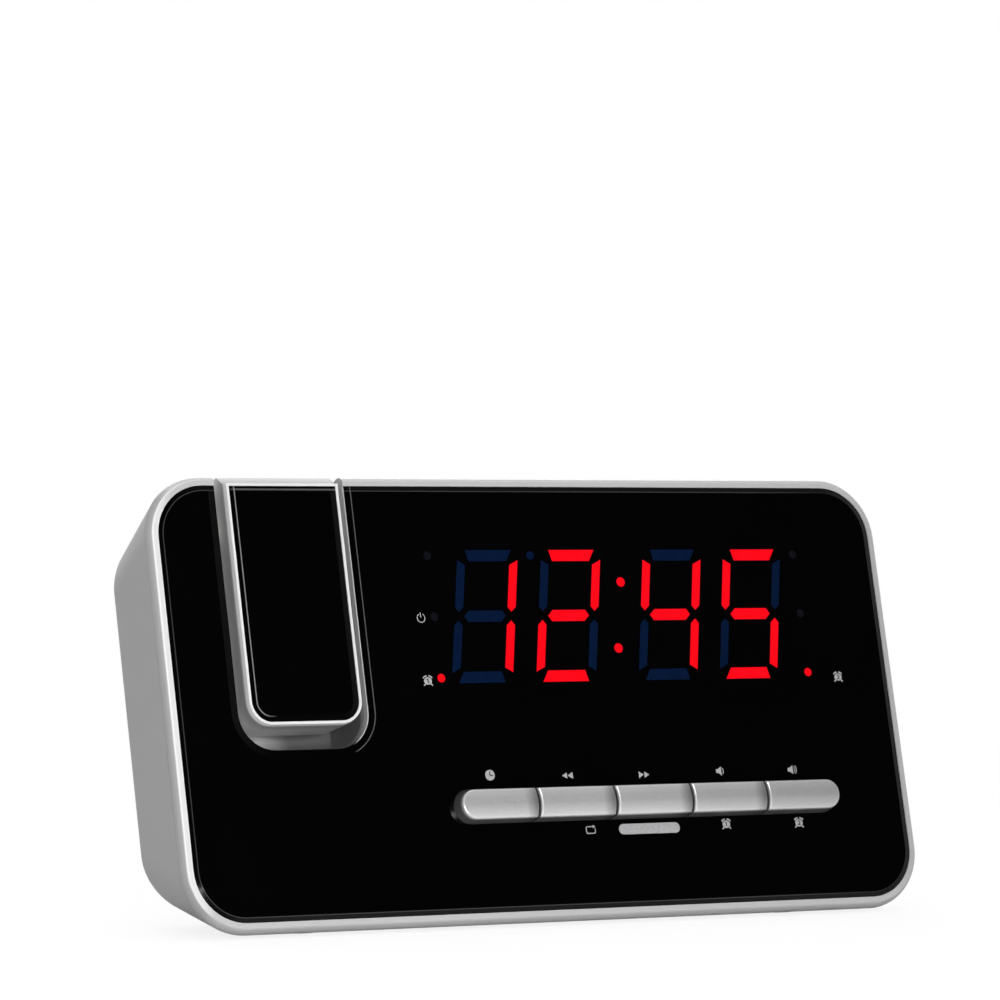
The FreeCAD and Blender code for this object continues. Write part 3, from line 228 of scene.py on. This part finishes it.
def platedMetal(name, look):
    # plated steel: long drawn lines in gloss and colour, with a soft blotch
    material, tap = startFinish(name)
    lines = objectNoise(tap, look["lines"], 4.0, 0.6, look.get("stretch", (1.0, 14.0, 1.0)))
    blotch = objectNoise(tap, 160.0, 3.0)
    share = lines * 0.5 + blotch * 0.5
    dark = tuple(c * 0.7 for c in look["colour"])
    endFinish(tap, {
        "Base Color": share.mix(opaque(dark), opaque(look["colour"])), "Metallic": 1.0,
        "Roughness": look["roughness"] + (lines - 0.5) * 0.18,
        "Normal": bumped(tap, lines, 0.25, 0.00003),
    })
    return material


def paintedEdgeGlint(tap, edge):
    # painted highlight: 1 on a line that follows a rounded outline at a distance. The distance to the
    # outline is the length of the parts past the corner's centre, plus the larger part where both fall
    # short, less its radius
    x, y, _ = onFrontPlane(tap)
    left, right, bottom, top = edge["outline"]
    r = edge["corner"]
    sideways = tap.maths("ABSOLUTE", x - (left + right) / 2, 0.0) - ((right - left) / 2 - r)
    upright = tap.maths("ABSOLUTE", y - (bottom + top) / 2, 0.0) - ((top - bottom) / 2 - r)
    pastX = tap.maths("MAXIMUM", sideways, 0.0)
    pastY = tap.maths("MAXIMUM", upright, 0.0)
    short = tap.maths("MINIMUM", tap.maths("MAXIMUM", sideways, upright), 0.0)
    away = tap.maths("SQRT", pastX * pastX + pastY * pastY, 0.0) + short - r
    off = tap.maths("ABSOLUTE", away - edge["offset"], 0.0)
    line = 1.0 - off.ramp(edge["width"] * 0.5, edge["width"])
    return line * x.ramp(*edge["fade"]) * edge["share"]


def polishedBlack(name, look):
    # deep black acrylic: faint polish haze in the gloss, hardly any bump, painted highlight lines on the
    # bevel edges
    material, tap = startFinish(name)
    haze = objectNoise(tap, 24.0, 4.0, 0.6)
    specks = objectNoise(tap, 2600.0, 1.0)
    tint = haze.mix(opaque(look["deep"]), opaque(look["top"]))
    # painted light: below the face, inside the pocket, the walls are a lighter dark grey than the black
    x, _, z = onFrontPlane(tap)
    face = tap.maths("MAXIMUM", z.ramp(*look["wallDepth"]), x.ramp(*look["wallEnd"]))
    tint = face.mix(grey(look["wall"]), tint)
    # painted highlight lines mixed into the colour
    for edge in look["edges"]:
        tint = paintedEdgeGlint(tap, edge).mix(tint, grey(look["paintedGlint"]))
    endFinish(tap, {
        "Base Color": tint, "Roughness": look["roughness"] + haze * 0.05,
        "Specular IOR Level": look["specular"],
        "Normal": bumped(tap, haze * 0.7 + specks * 0.3, 0.05, 0.00002),
    })
    return material


def litFigure(name, look):
    # glowing bars whose red varies slightly with a cloud noise
    material, tap = startFinish(name)
    cloud = objectNoise(tap, 420.0, 2.0)
    glow = cloud.ramp(0.2, 0.8).mix(opaque(look["edge"]), opaque(look["core"]))
    endFinish(tap, {
        "Base Color": (0.05, 0.0, 0.0, 1.0), "Roughness": 0.25 + cloud * 0.1,
        "Specular IOR Level": 0.2, "Emission Color": glow, "Emission Strength": look["strength"],
    })
    return material


def darkFigure(name, look):
    # unlit bars seen through the tinted front; the dots beyond the figures hardly show
    material, tap = startFinish(name)
    cloud = objectNoise(tap, 600.0, 3.0)
    x = onFrontPlane(tap)[0]
    outer = tap.maths("ABSOLUTE", x - look["middle"], 0.0).ramp(look["reach"], look["reach"] + 0.5)
    colour = cloud.mix(opaque(look["deep"]), opaque(look["top"]))
    endFinish(tap, {
        "Base Color": outer.mix(colour, opaque(look["outer"])),
        "Roughness": 0.16 + cloud * 0.08, "Specular IOR Level": 0.2,
    })
    return material


def printedInk(name, look):
    # pad-printed ink: slight mottle where the film is thin
    material, tap = startFinish(name)
    mottle = objectNoise(tap, 3200.0, 3.0, 0.6)
    endFinish(tap, {
        "Base Color": mottle.ramp(0.25, 0.6).mix(opaque(look["thin"]), opaque(look["full"])),
        "Roughness": 0.5 + mottle * 0.15, "Specular IOR Level": 0.25,
        "Normal": bumped(tap, mottle, 0.2, 0.00001),
    })
    return material


def mouldedRubber(name, look):
    material, tap = startFinish(name)
    grain = objectNoise(tap, 1800.0, 4.0, 0.7)
    dust = objectNoise(tap, 150.0, 4.0, 0.7)
    endFinish(tap, {
        "Base Color": dust.ramp(0.45, 0.8).mix(opaque(look["colour"]), opaque(look["dust"])),
        "Roughness": 0.78 + dust * 0.15, "Normal": bumped(tap, grain, 0.5, 0.00012),
    })
    return material


def clearLens(name, look):
    # coated glass: a faint tint that drifts over the surface, and hairline polish marks
    material, tap = startFinish(name)
    drift = objectNoise(tap, 260.0, 2.0)
    hair = objectNoise(tap, 900.0, 4.0, 0.7, (1.0, 9.0, 1.0))
    endFinish(tap, {
        "Base Color": drift.mix(opaque(look["first"]), opaque(look["second"])),
        "Roughness": look["roughness"] + hair * 0.03, "Transmission Weight": look["clear"], "IOR": 1.49,
        "Coat Weight": 0.4 + drift * 0.2, "Coat Roughness": 0.05,
    })
    return material


def greenBoard(name, look):
    # solder mask over copper: fine tracks show as lighter steps
    material, tap = startFinish(name)
    tracks = objectNoise(tap, 700.0, 0.0, 0.5, (1.0, 1.0, 0.12))
    weave = objectNoise(tap, 2400.0, 2.0)
    mask = tracks.ramp(0.52, 0.56)
    endFinish(tap, {
        "Base Color": mask.mix(opaque(look["mask"]), opaque(look["track"])),
        "Roughness": 0.35 + weave * 0.15, "Normal": bumped(tap, mask, 0.3, 0.00003),
    })
    return material


_, _, keyBottom, keyTop = outlineOf("key_clock")
keyTall = keyTop - keyBottom


# ranges are panel millimetres, middle shade and top heights are shares of the key, the rest scales the
# colour as painted light and shade
paintedLightAndShade = {
    "bezel": {"leftSide": (-91.0, -88.0), "leftRim": 0.92, "rim": 0.66, "rightSide": (86.0, 92.0),
              "rightShare": 0.85, "bandDepth": (-0.35, -0.1), "leftBand": 0.40, "band": 0.50},
    "key": {"crownStart": 0.12, "crownEnd": 0.5, "foot": 0.96, "crown": 0.52, "topStart": 0.62,
            "topEnd": 0.1, "top": 1.3, "flankDepth": (2.1, 3.0), "flank": 0.14,
            "rightSide": (20.0, 70.0), "rightShare": 0.84, "endStart": 3.4, "endStop": 0.3, "end": 0.35},
    "arm": {"rimDepth": (0.15, 0.6), "side": 0.40, "rim": 0.96, "pocketDepth": (-3.8, -0.6), "deep": 2.0},
    "well": {"middle": (-64.0, -57.0), "left": 1.15, "right": 0.34},
}


def bezelPaintedLight(x, y, z):
    # painted light: the flat rim is painted bright along the left side, softer elsewhere and a little darker
    # at the right end; painted shade darkens the band behind it
    look = paintedLightAndShade["bezel"]
    past = x.ramp(*look["leftSide"])
    rim = past.between(look["leftRim"], look["rim"])
    rim = rim * x.ramp(*look["rightSide"]).between(1.0, look["rightShare"])
    return z.ramp(*look["bandDepth"]).between(past.between(look["leftBand"], look["band"]), rim)


def keyPaintedShade(x, y, z):
    # painted shade across the middle of the keys, lighter to the lower edge, a painted highlight toward the
    # top, painted shade on the flanks and toward the right
    look = paintedLightAndShade["key"]
    crown = y.ramp(keyBottom + look["crownStart"] * keyTall, keyBottom + look["crownEnd"] * keyTall)
    crown = crown.between(look["foot"], look["crown"])
    top = y.ramp(keyBottom + look["topStart"] * keyTall, keyTop - look["topEnd"] * keyTall)
    top = top.between(1.0, look["top"])
    flank = z.ramp(*look["flankDepth"]).between(look["flank"], 1.0)
    return flank * crown * top * x.ramp(*look["rightSide"]).between(1.0, look["rightShare"])


def endedKeyPaintedShade(end):
    # painted shade also darkens a key's right end
    def tone(x, y, z):
        look = paintedLightAndShade["key"]
        whole = keyPaintedShade(x, y, z)
        return whole * x.ramp(end - look["endStart"], end - look["endStop"]).between(1.0, look["end"])
    return tone


def armPaintedLight(x, y, z):
    # painted highlight on the front rim, painted shade on the sides that lightens again deep in the pocket
    look = paintedLightAndShade["arm"]
    rim = z.ramp(*look["rimDepth"]).between(look["side"], look["rim"])
    return rim * z.ramp(*look["pocketDepth"]).between(look["deep"], 1.0)


def wellPaintedShade(x, y, z):
    # the floor of the pocket has painted light under its left half and painted shade under its right
    look = paintedLightAndShade["well"]
    return x.ramp(*look["middle"]).between(look["left"], look["right"])


# the tone entries paint light and shade into the colour
silverLooks = {
    "bezel": {"dark": 0.76, "light": 0.84, "metallic": 0.30, "roughness": 0.36, "flakes": 14000.0,
              "peel": 0.06, "coat": 0.15, "tone": bezelPaintedLight},
    "casing": {"dark": 0.37, "light": 0.43, "metallic": 0.22, "roughness": 0.46, "flakes": 14000.0,
               "peel": 0.14, "coat": 0.05},
    "key": {"dark": 0.76, "light": 0.80, "metallic": 0.34, "roughness": 0.30, "flakes": 20000.0,
            "peel": 0.02, "coat": 0.2, "tone": keyPaintedShade},
    "arm": {"dark": 0.80, "light": 0.86, "metallic": 0.30, "roughness": 0.34, "flakes": 14000.0,
            "peel": 0.05, "coat": 0.2, "tone": armPaintedLight},
    "well": {"dark": 0.50, "light": 0.56, "metallic": 0.30, "roughness": 0.36, "flakes": 14000.0,
             "peel": 0.06, "coat": 0.15, "tone": wellPaintedShade},
}

# outlines are left, right, bottom and top in panel millimetres; farOut lies well past the panel
farOut = 200.0
pocketOutline = (-77.45, -45.65, -10.85, farOut)
insertLeft, insertRight, insertBottom, insertTop = outlineOf("arm_insert")
# painted highlight lines along the panel's edge, the pocket and the insert
paintedEdgeGlints = {
    "panel": {"outline": outlineOf("front_panel"), "corner": 11.75, "offset": -1.12, "width": 0.15,
              "share": 0.06, "fade": (90.0, 60.0)},
    "notch": {"outline": pocketOutline, "corner": 8.4, "offset": 1.75, "width": 0.15, "share": 0.15,
              "fade": (-50.0, -49.0)},
    "pocketSide": {"outline": pocketOutline, "corner": 8.4, "offset": 0.05, "width": 0.17, "share": 0.9,
                   "fade": (-50.0, -48.0)},
    "insert": {"outline": (insertLeft, insertRight, insertBottom, farOut), "corner": 4.6,
               "offset": -1.2, "width": 0.16, "share": 0.33, "fade": (-69.0, -72.0)},
    "insertTop": {"outline": (-farOut, farOut, -farOut, insertTop), "corner": 0.1, "offset": -0.75,
                  "width": 0.26, "share": 0.14, "fade": (-75.0, -73.0)},
}
blackLook = {
    "deep": (0.0007, 0.0006, 0.0007), "top": (0.0012, 0.0011, 0.0013), "roughness": 0.06,
    "specular": 0.28, "paintedGlint": 0.5, "wall": 0.012, "wallDepth": (-0.7, -0.45), "wallEnd": (-45.6, -45.5),
}
finishes = {
    "silver": paintedSilver("bezelSilver", silverLooks["bezel"]),
    "silver_case": paintedSilver("casingSilver", silverLooks["casing"]),
    "silver_key": paintedSilver("keySilver", silverLooks["key"]),
    "black_gloss": polishedBlack("frontBlackPaintedGlints", {**blackLook, "edges": [
        paintedEdgeGlints["panel"], paintedEdgeGlints["notch"], paintedEdgeGlints["pocketSide"]]}),
    "lit_red": litFigure("figureRed", {
        "core": (1.0, 0.0, 0.009), "edge": (0.93, 0.0, 0.006), "strength": 1.0}),
    "unlit_navy": darkFigure("figureNavy", {
        "deep": (0.0008, 0.0045, 0.020), "top": (0.0014, 0.0080, 0.032), "outer": (0.004, 0.004, 0.007),
        "middle": 22.15, "reach": 46.0}),
    "display_black": mouldedPlastic("displayBlack", {
        "colour": (0.03, 0.03, 0.032), "roughness": 0.6, "grain": 1800.0, "bump": 0.3}),
    "board_green": greenBoard("boardGreen", {"mask": (0.015, 0.12, 0.05), "track": (0.03, 0.2, 0.08)}),
    "switch_black": mouldedPlastic("switchBlack", {
        "colour": (0.05, 0.05, 0.05), "roughness": 0.5, "grain": 2200.0, "bump": 0.2}),
    "chip_black": mouldedPlastic("inletBlack", {
        "colour": (0.035, 0.035, 0.038), "roughness": 0.45, "grain": 2600.0, "bump": 0.3}),
    "connector_white": mouldedPlastic("connectorWhite", {
        "colour": (0.8, 0.8, 0.76), "roughness": 0.4, "grain": 1200.0, "bump": 0.15}),
    "ribbon_grey": mouldedPlastic("ribbonGrey", {
        "colour": (0.5, 0.5, 0.52), "roughness": 0.5, "grain": 900.0, "bump": 0.2}),
    "screw_steel": platedMetal("screwZinc", {
        "colour": (0.62, 0.62, 0.64), "roughness": 0.34, "lines": 1800.0}),
    "pressed_steel": platedMetal("basketZinc", {
        "colour": (0.5, 0.5, 0.52), "roughness": 0.42, "lines": 600.0}),
    "magnet_grey": mouldedPlastic("magnetFerrite", {
        "colour": (0.10, 0.10, 0.11), "roughness": 0.7, "grain": 3000.0, "bump": 0.6}),
    "paper_cone": mouldedPlastic("conePaper", {
        "colour": (0.045, 0.045, 0.047), "roughness": 0.85, "grain": 1400.0, "bump": 0.9}),
    "cell_steel": platedMetal("cellNickel", {
        "colour": (0.75, 0.75, 0.74), "roughness": 0.22, "lines": 1200.0}),
    "contact_nickel": platedMetal("contactNickel", {
        "colour": (0.72, 0.70, 0.66), "roughness": 0.3, "lines": 1500.0}),
    "foot_rubber": mouldedRubber("footRubber", {
        "colour": (0.035, 0.035, 0.036), "dust": (0.07, 0.07, 0.07)}),
    "pin_steel": platedMetal("pinSteel", {
        "colour": (0.6, 0.6, 0.61), "roughness": 0.28, "lines": 2200.0, "stretch": (0.1, 6.0, 6.0)}),
    "washer_nylon": mouldedPlastic("washerNylon", {
        "colour": (0.78, 0.77, 0.72), "roughness": 0.45, "grain": 1500.0, "bump": 0.1}),
    "led_clear": clearLens("lampRed", {
        "first": (0.95, 0.3, 0.25), "second": (0.85, 0.16, 0.14), "roughness": 0.04, "clear": 0.8}),
    "lens_clear": clearLens("lensGlass", {
        "first": (0.80, 0.86, 0.98), "second": (0.92, 0.88, 0.96), "roughness": 0.0, "clear": 0.92}),
    "lcd_glass": clearLens("slideGlass", {
        "first": (0.25, 0.27, 0.3), "second": (0.3, 0.32, 0.36), "roughness": 0.03, "clear": 0.6}),
    "barrel_black": mouldedPlastic("barrelBlack", {
        "colour": (0.03, 0.03, 0.032), "roughness": 0.42, "grain": 2200.0, "bump": 0.25}),
}
print("finishes:", len(finishes))


slotOf = {part["node"]: part["material_slot"] for part in frame["record"]["subparts"]}
armSilver = paintedSilver("armSilver", silverLooks["arm"])
ownFinish = {
    "arm_insert": polishedBlack("insertBlackPaintedGlints", {
        **blackLook, "wallDepth": (0.9, 1.1), "wall": 0.01,
        "edges": [paintedEdgeGlints["insert"], paintedEdgeGlints["insertTop"]]}),
    "arm_front_shell": armSilver,
    "arm_rear_shell": armSilver,
    "projector_well": paintedSilver("wellSilver", silverLooks["well"]),
}


for name in ("key_clock", "key_back", "key_forward", "key_volume_down"):
    ownFinish[name] = paintedSilver(name + "Silver", {
        **silverLooks["key"], "tone": endedKeyPaintedShade(outlineOf(name)[1])})
for name, obj in nodes.items():
    obj.data.materials.clear()
    obj.data.materials.append(ownFinish.get(name, finishes[slotOf[name]]))
print("dressed nodes:", len(nodes))


def makePiece(name, points, faces, finish, body):
    mesh = bpy.data.meshes.new(name)
    mesh.from_pydata(points.tolist(), [], faces)
    mesh.materials.append(finish)
    mesh.polygons.foreach_set("use_smooth", [False] * len(mesh.polygons))
    mesh.update()
    obj = bpy.data.objects.new(name, mesh)
    bpy.context.scene.collection.objects.link(obj)
    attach(obj, body)


def ringFaces(rows, columns):
    # quads between rows of points that each close to a ring, as four indices each
    r, c = np.meshgrid(np.arange(rows - 1), np.arange(columns), indexing="ij")
    c2 = (c + 1) % columns
    loop = [r * columns + c, (r + 1) * columns + c, (r + 1) * columns + c2, r * columns + c2]
    return np.stack(loop, -1).reshape(-1, 4).tolist()


printing = {
    "low": -0.01, "grey": 0.02, "dark": 0.03,       # heights of the films on the panel
    "clock": (75.40, 66.22), "back": (95.27, 66.78), "forward": (115.22, 67.06),
    "quiet": (135.50, 66.69), "loud": (154.86, 66.85), "repeat": (99.65, 79.28),
    "pill": (114.93, 79.40, 16.0, 2.4), "alarmOne": (135.40, 79.05), "alarmTwo": (155.01, 79.29),
    "power": (62.55, 30.26), "leftAlarm": (62.48, 44.6), "rightAlarm": (170.95, 45.29),
    "halfWidth": 92.25, "halfHeight": 48.55,        # symbol places are from the panel's top left corner
}
films = {"grey": [], "dark": []}


def filmBetween(layer, first, second):
    # thin slab between two curves of as many points: (1-t)*first + t*second for t 0 and 1,
    # at the film's two heights, so its section is a rectangle carried along the curves
    top = printing[layer]
    low = printing["low"]
    loop = [(first, low), (second, low), (second, top), (first, top)]
    rows = np.stack([onPanel(c[:, 0], c[:, 1], z) for c, z in loop], 1)
    count = len(first) * len(loop)
    faces = ringFaces(len(first), len(loop))
    faces += [[3, 2, 1, 0], [count - 4, count - 3, count - 2, count - 1]]
    films[layer].append((rows.reshape(-1, 3), faces))


def spot(where, points):
    # symbol millimetres to panel millimetres
    return np.asarray(points, float) + [where[0] - printing["halfWidth"], printing["halfHeight"] - where[1]]


def stroke(layer, where, points, width):
    # a pen line: each point is moved half the width to both sides along the line's normal
    path = spot(where, points)
    run = np.gradient(path, axis=0)
    run /= np.linalg.norm(run, axis=1)[:, None]
    side = np.stack([-run[:, 1], run[:, 0]], 1) * width / 2
    filmBetween(layer, path - side, path + side)


def circleArc(radius, start, end, count=33, middle=(0.0, 0.0)):
    a = np.radians(np.linspace(start, end, count))
    return np.stack([middle[0] + radius * np.cos(a), middle[1] + radius * np.sin(a)], 1)


def disc(layer, where, radius, flat=1.0):
    # lower and upper half of the ellipse x = -r cos a, y = r flat sin a
    a = np.linspace(0.0, math.pi, 41)
    x = -radius * np.cos(a)
    y = radius * flat * np.sin(a)
    filmBetween(layer, spot(where, np.stack([x, -y], 1)), spot(where, np.stack([x, y], 1)))


def wedge(layer, where, tip, base, half):
    # triangle with its tip at x = tip and its upright side at x = base
    x = np.linspace(tip, base, 9)
    tall = half * np.abs(x - tip) / abs(base - tip)
    order = slice(None) if base > tip else slice(None, None, -1)
    low = np.stack([x, -tall], 1)[order]
    high = np.stack([x, tall], 1)[order]
    filmBetween(layer, spot(where, low), spot(where, high))


def speaker(layer, where, waves):
    # box, cone and one or two sound arcs
    x = np.array([-1.05, -0.45, -0.45001, 0.35])
    tall = np.array([0.45, 0.45, 0.45, 1.1])
    filmBetween(layer, spot(where, np.stack([x, -tall], 1)), spot(where, np.stack([x, tall], 1)))
    for radius in waves:
        stroke(layer, where, circleArc(radius, -42, 42, 21, (-0.1, 0.0)), 0.2)


def bellClock(layer, where, figure):
    # dial with two bells and two feet, and its number in the dark film
    disc(layer, where, 1.0, 0.86)
    for side in (-1, 1):
        bell = circleArc(1.4, 34, 80, 15)
        stroke(layer, where, bell * [side, 0.85], 0.3)
        stroke(layer, where, np.array([[0.72, -0.66], [1.1, -1.06]]) * [side, 1], 0.32)
    if figure == 1:
        stroke("dark", where, [[0.02, -0.5], [0.02, 0.0], [0.02, 0.5]], 0.26)
        stroke("dark", where, [[-0.28, 0.3], [0.02, 0.48]], 0.2)
    else:
        hook = circleArc(0.3, 165, -35, 17, (0.0, 0.2))
        stroke("dark", where, np.vstack([hook, [[-0.3, -0.42]]]), 0.22)
        stroke("dark", where, [[-0.38, -0.44], [0.4, -0.44]], 0.2)


def roundedPill(layer, where, length, height):
    # half height follows a half circle at both ends
    r = height / 2
    a = np.linspace(0, math.pi / 2, 17)
    x = np.concatenate([-length / 2 + r - r * np.cos(a), length / 2 - r + r * np.sin(a)])
    tall = np.concatenate([r * np.sin(a), r * np.cos(a)])
    filmBetween(layer, spot(where, np.stack([x, -tall], 1)), spot(where, np.stack([x, tall], 1)))


disc("grey", printing["clock"], 1.2)
stroke("dark", printing["clock"], [[0.0, -0.12], [-0.06, 0.8]], 0.26)
stroke("dark", printing["clock"], [[-0.12, 0.0], [0.75, -0.08]], 0.26)
for side, place in ((1, printing["back"]), (-1, printing["forward"])):
    wedge("grey", place, -1.42 * side, -0.12 * side, 0.74)
    wedge("grey", place, 0.06 * side, 1.36 * side, 0.8)
speaker("grey", printing["quiet"], (0.98,))
speaker("grey", printing["loud"], (0.92, 1.38))
stroke("grey", printing["repeat"], np.vstack([
    [[0.62, 0.72], [-0.9, 0.72]], circleArc(0.3, 90, 180, 7, (-0.9, 0.42)),
    circleArc(0.3, 180, 270, 7, (-0.9, -0.5)), circleArc(0.3, 270, 360, 7, (0.8, -0.5)),
    [[1.1, 0.35]]]), 0.22)
wedge("grey", (printing["repeat"][0], printing["repeat"][1] - 0.72), 1.16, 0.5, 0.42)
roundedPill("grey", printing["pill"], printing["pill"][2], printing["pill"][3])
for place, figure in ((printing["alarmOne"], 1), (printing["alarmTwo"], 2),
                      (printing["leftAlarm"], 1), (printing["rightAlarm"], 2)):
    bellClock("grey", place, figure)
stroke("grey", printing["power"], circleArc(0.98, 118, 422, 41), 0.2)
stroke("grey", printing["power"], [[-0.06, 0.12], [-0.12, 1.22]], 0.22)

inks = {
    "grey": printedInk("symbolGrey", {"thin": (0.22, 0.22, 0.225), "full": (0.36, 0.36, 0.365)}),
    "dark": printedInk("symbolDark", {"thin": (0.006, 0.006, 0.007), "full": (0.004, 0.004, 0.005)}),
}
for layer, parts in films.items():
    points = np.concatenate([p for p, _ in parts])
    starts = np.cumsum([0] + [len(p) for p, _ in parts[:-1]])
    faces = [[i + int(start) for i in face] for start, (_, quads) in zip(starts, parts) for face in quads]
    makePiece("symbols_" + layer, points, faces, inks[layer], "case")
print("printed films:", {layer: len(parts) for layer, parts in films.items()})


studio = {
    "floorReach": 6.0, "rings": 24, "spokes": 64, "fadeStart": 0.16, "fadeEnd": 0.50, "floorSeen": 0.22,
    "floorBounce": 0.75, "floorGlow": 0.84, "ambient": 0.40, "mirrored": 0.92,
    "darkSide": (0.30, -0.85, 0.43), "darkFrom": 0.707, "darkTo": 0.954,
}


def makeFloor():
    # disc whose rings widen outwards: point = reach * s^2 * (cos a, sin a)
    rings, spokes = studio["rings"], studio["spokes"]
    s = np.linspace(0, 1, rings + 1)[1:, None]
    a = np.linspace(0, 2 * math.pi, spokes, endpoint=False)[None, :]
    r = studio["floorReach"] * s ** 2
    points = np.stack([r * np.cos(a), r * np.sin(a), 0 * r * a], -1).reshape(-1, 3)
    faces = ringFaces(rings, spokes) + [list(range(spokes))]
    mesh = bpy.data.meshes.new("floor")
    mesh.from_pydata(points.tolist(), [], faces)
    material, tap = startFinish("studioFloor")
    place = tap.node("TexCoord", out=3)
    away = tap.node("VectorMath", {"operation": "LENGTH"}, {0: place}, out=1)
    far = away.ramp(studio["fadeStart"], studio["fadeEnd"])
    seen = tap.node("LightPath", out=0)
    dust = objectNoise(tap, 9.0, 3.0)
    tone = seen.mix(grey(studio["floorBounce"]), grey(studio["floorSeen"]))
    paint = (0.97 + dust * 0.06).mix(grey(0.0), tone)
    matt = tap.node("BsdfDiffuse", None, {"Color": paint})
    glow = tap.node("Emission", None, {"Color": grey(1.0), "Strength": seen * studio["floorGlow"]})
    lit = tap.node("AddShader", None, {0: matt, 1: glow})
    white = tap.node("Emission", None, {"Color": grey(1.0), "Strength": 1.0})
    both = tap.node("MixShader", None, {0: far * seen, 1: lit, 2: white})
    tap.node("OutputMaterial", None, {"Surface": both})
    mesh.materials.append(material)
    obj = bpy.data.objects.new("floor", mesh)
    bpy.context.scene.collection.objects.link(obj)


def makeAir():
    # white to the camera, near white with one dark side to gloss and clear rays, dimmer to the rest
    world = bpy.data.worlds.new("studioAir")
    world.use_nodes = True
    world.node_tree.nodes.clear()
    tap = Tap(world.node_tree)
    ray = tap.node("TexCoord", out=0)
    toward = tap.node("VectorMath", {"operation": "DOT_PRODUCT"},
                      {0: ray, 1: studio["darkSide"]}, out=1)
    dark = toward.ramp(studio["darkFrom"], studio["darkTo"])
    camera = tap.node("LightPath", out=0)
    gloss = tap.node("LightPath", out=3)
    through = tap.node("LightPath", out=6)
    mirrored = dark.mix(grey(studio["mirrored"]), grey(0.0))
    plain = gloss.maths("MAXIMUM", gloss, through).mix(grey(studio["ambient"]), mirrored)
    colour = camera.mix(plain, grey(1.0))
    shader = tap.node("Background", None, {"Color": colour, "Strength": 1.0})
    tap.node("OutputWorld", None, {"Surface": shader})
    bpy.context.scene.world = world


def makeLamp(name, look):
    # square to the line from the lamp to the clock, with its width level
    lamp = bpy.data.lights.new(name, "AREA")
    lamp.shape = "RECTANGLE"
    lamp.size, lamp.size_y = look["size"]
    lamp.energy = look["power"]
    lamp.spread = look["beam"]
    obj = bpy.data.objects.new(name, lamp)
    bpy.context.scene.collection.objects.link(obj)
    back = np.array(look["place"]) - lampAim
    back /= np.linalg.norm(back)
    side = np.cross([0.0, 0.0, 1.0], back)
    side /= np.linalg.norm(side)
    turn = np.stack([side, np.cross(back, side), back], 1)
    obj.matrix_world = Matrix.Translation(look["place"]) @ Matrix(turn.tolist()).to_4x4()


makeFloor()
makeAir()
lampAim = np.array([-0.1, 0.0, 0.05])
lamps = {
    "topSoftbox": {"place": (0.0, 0.15, 1.25), "size": (1.1, 0.9), "power": 3.5, "beam": math.pi},
    "leftSoftbox": {"place": (-1.1, -0.35, 0.65), "size": (0.8, 0.8), "power": 1.2, "beam": math.pi},
    "backSoftbox": {"place": (0.5, 1.3, 0.8), "size": (1.0, 0.8), "power": 5.0, "beam": math.pi},
    "frontSoftbox": {"place": (-0.28, -0.88, 0.125), "size": (0.5, 0.22), "power": 1.3, "beam": 1.2},
}
for name, look in lamps.items():
    makeLamp(name, look)
print("studio lamps:", len(lamps))


view = {
    "place": (-0.571448, -1.011612, 0.092691), "yaw": 29.3905, "pitch": 0.1069, "roll": 0.1133,
    "lens": 183.456, "sensor": 36.0, "near": 0.05,
}


def makeCamera():
    camera = bpy.data.cameras.new("photoCamera")
    camera.sensor_width = view["sensor"]
    camera.lens = view["lens"]
    camera.clip_start = view["near"]
    obj = bpy.data.objects.new("photoCamera", camera)
    bpy.context.scene.collection.objects.link(obj)
    turn = (Matrix.Rotation(math.radians(-view["yaw"]), 4, "Z")
            @ Matrix.Rotation(math.radians(90 + view["pitch"]), 4, "X")
            @ Matrix.Rotation(math.radians(view["roll"]), 4, "Z"))
    obj.matrix_world = Matrix.Translation(view["place"]) @ turn
    bpy.context.scene.camera = obj


makeCamera()
bpy.context.scene.view_settings.view_transform = "Standard"
print("camera set")
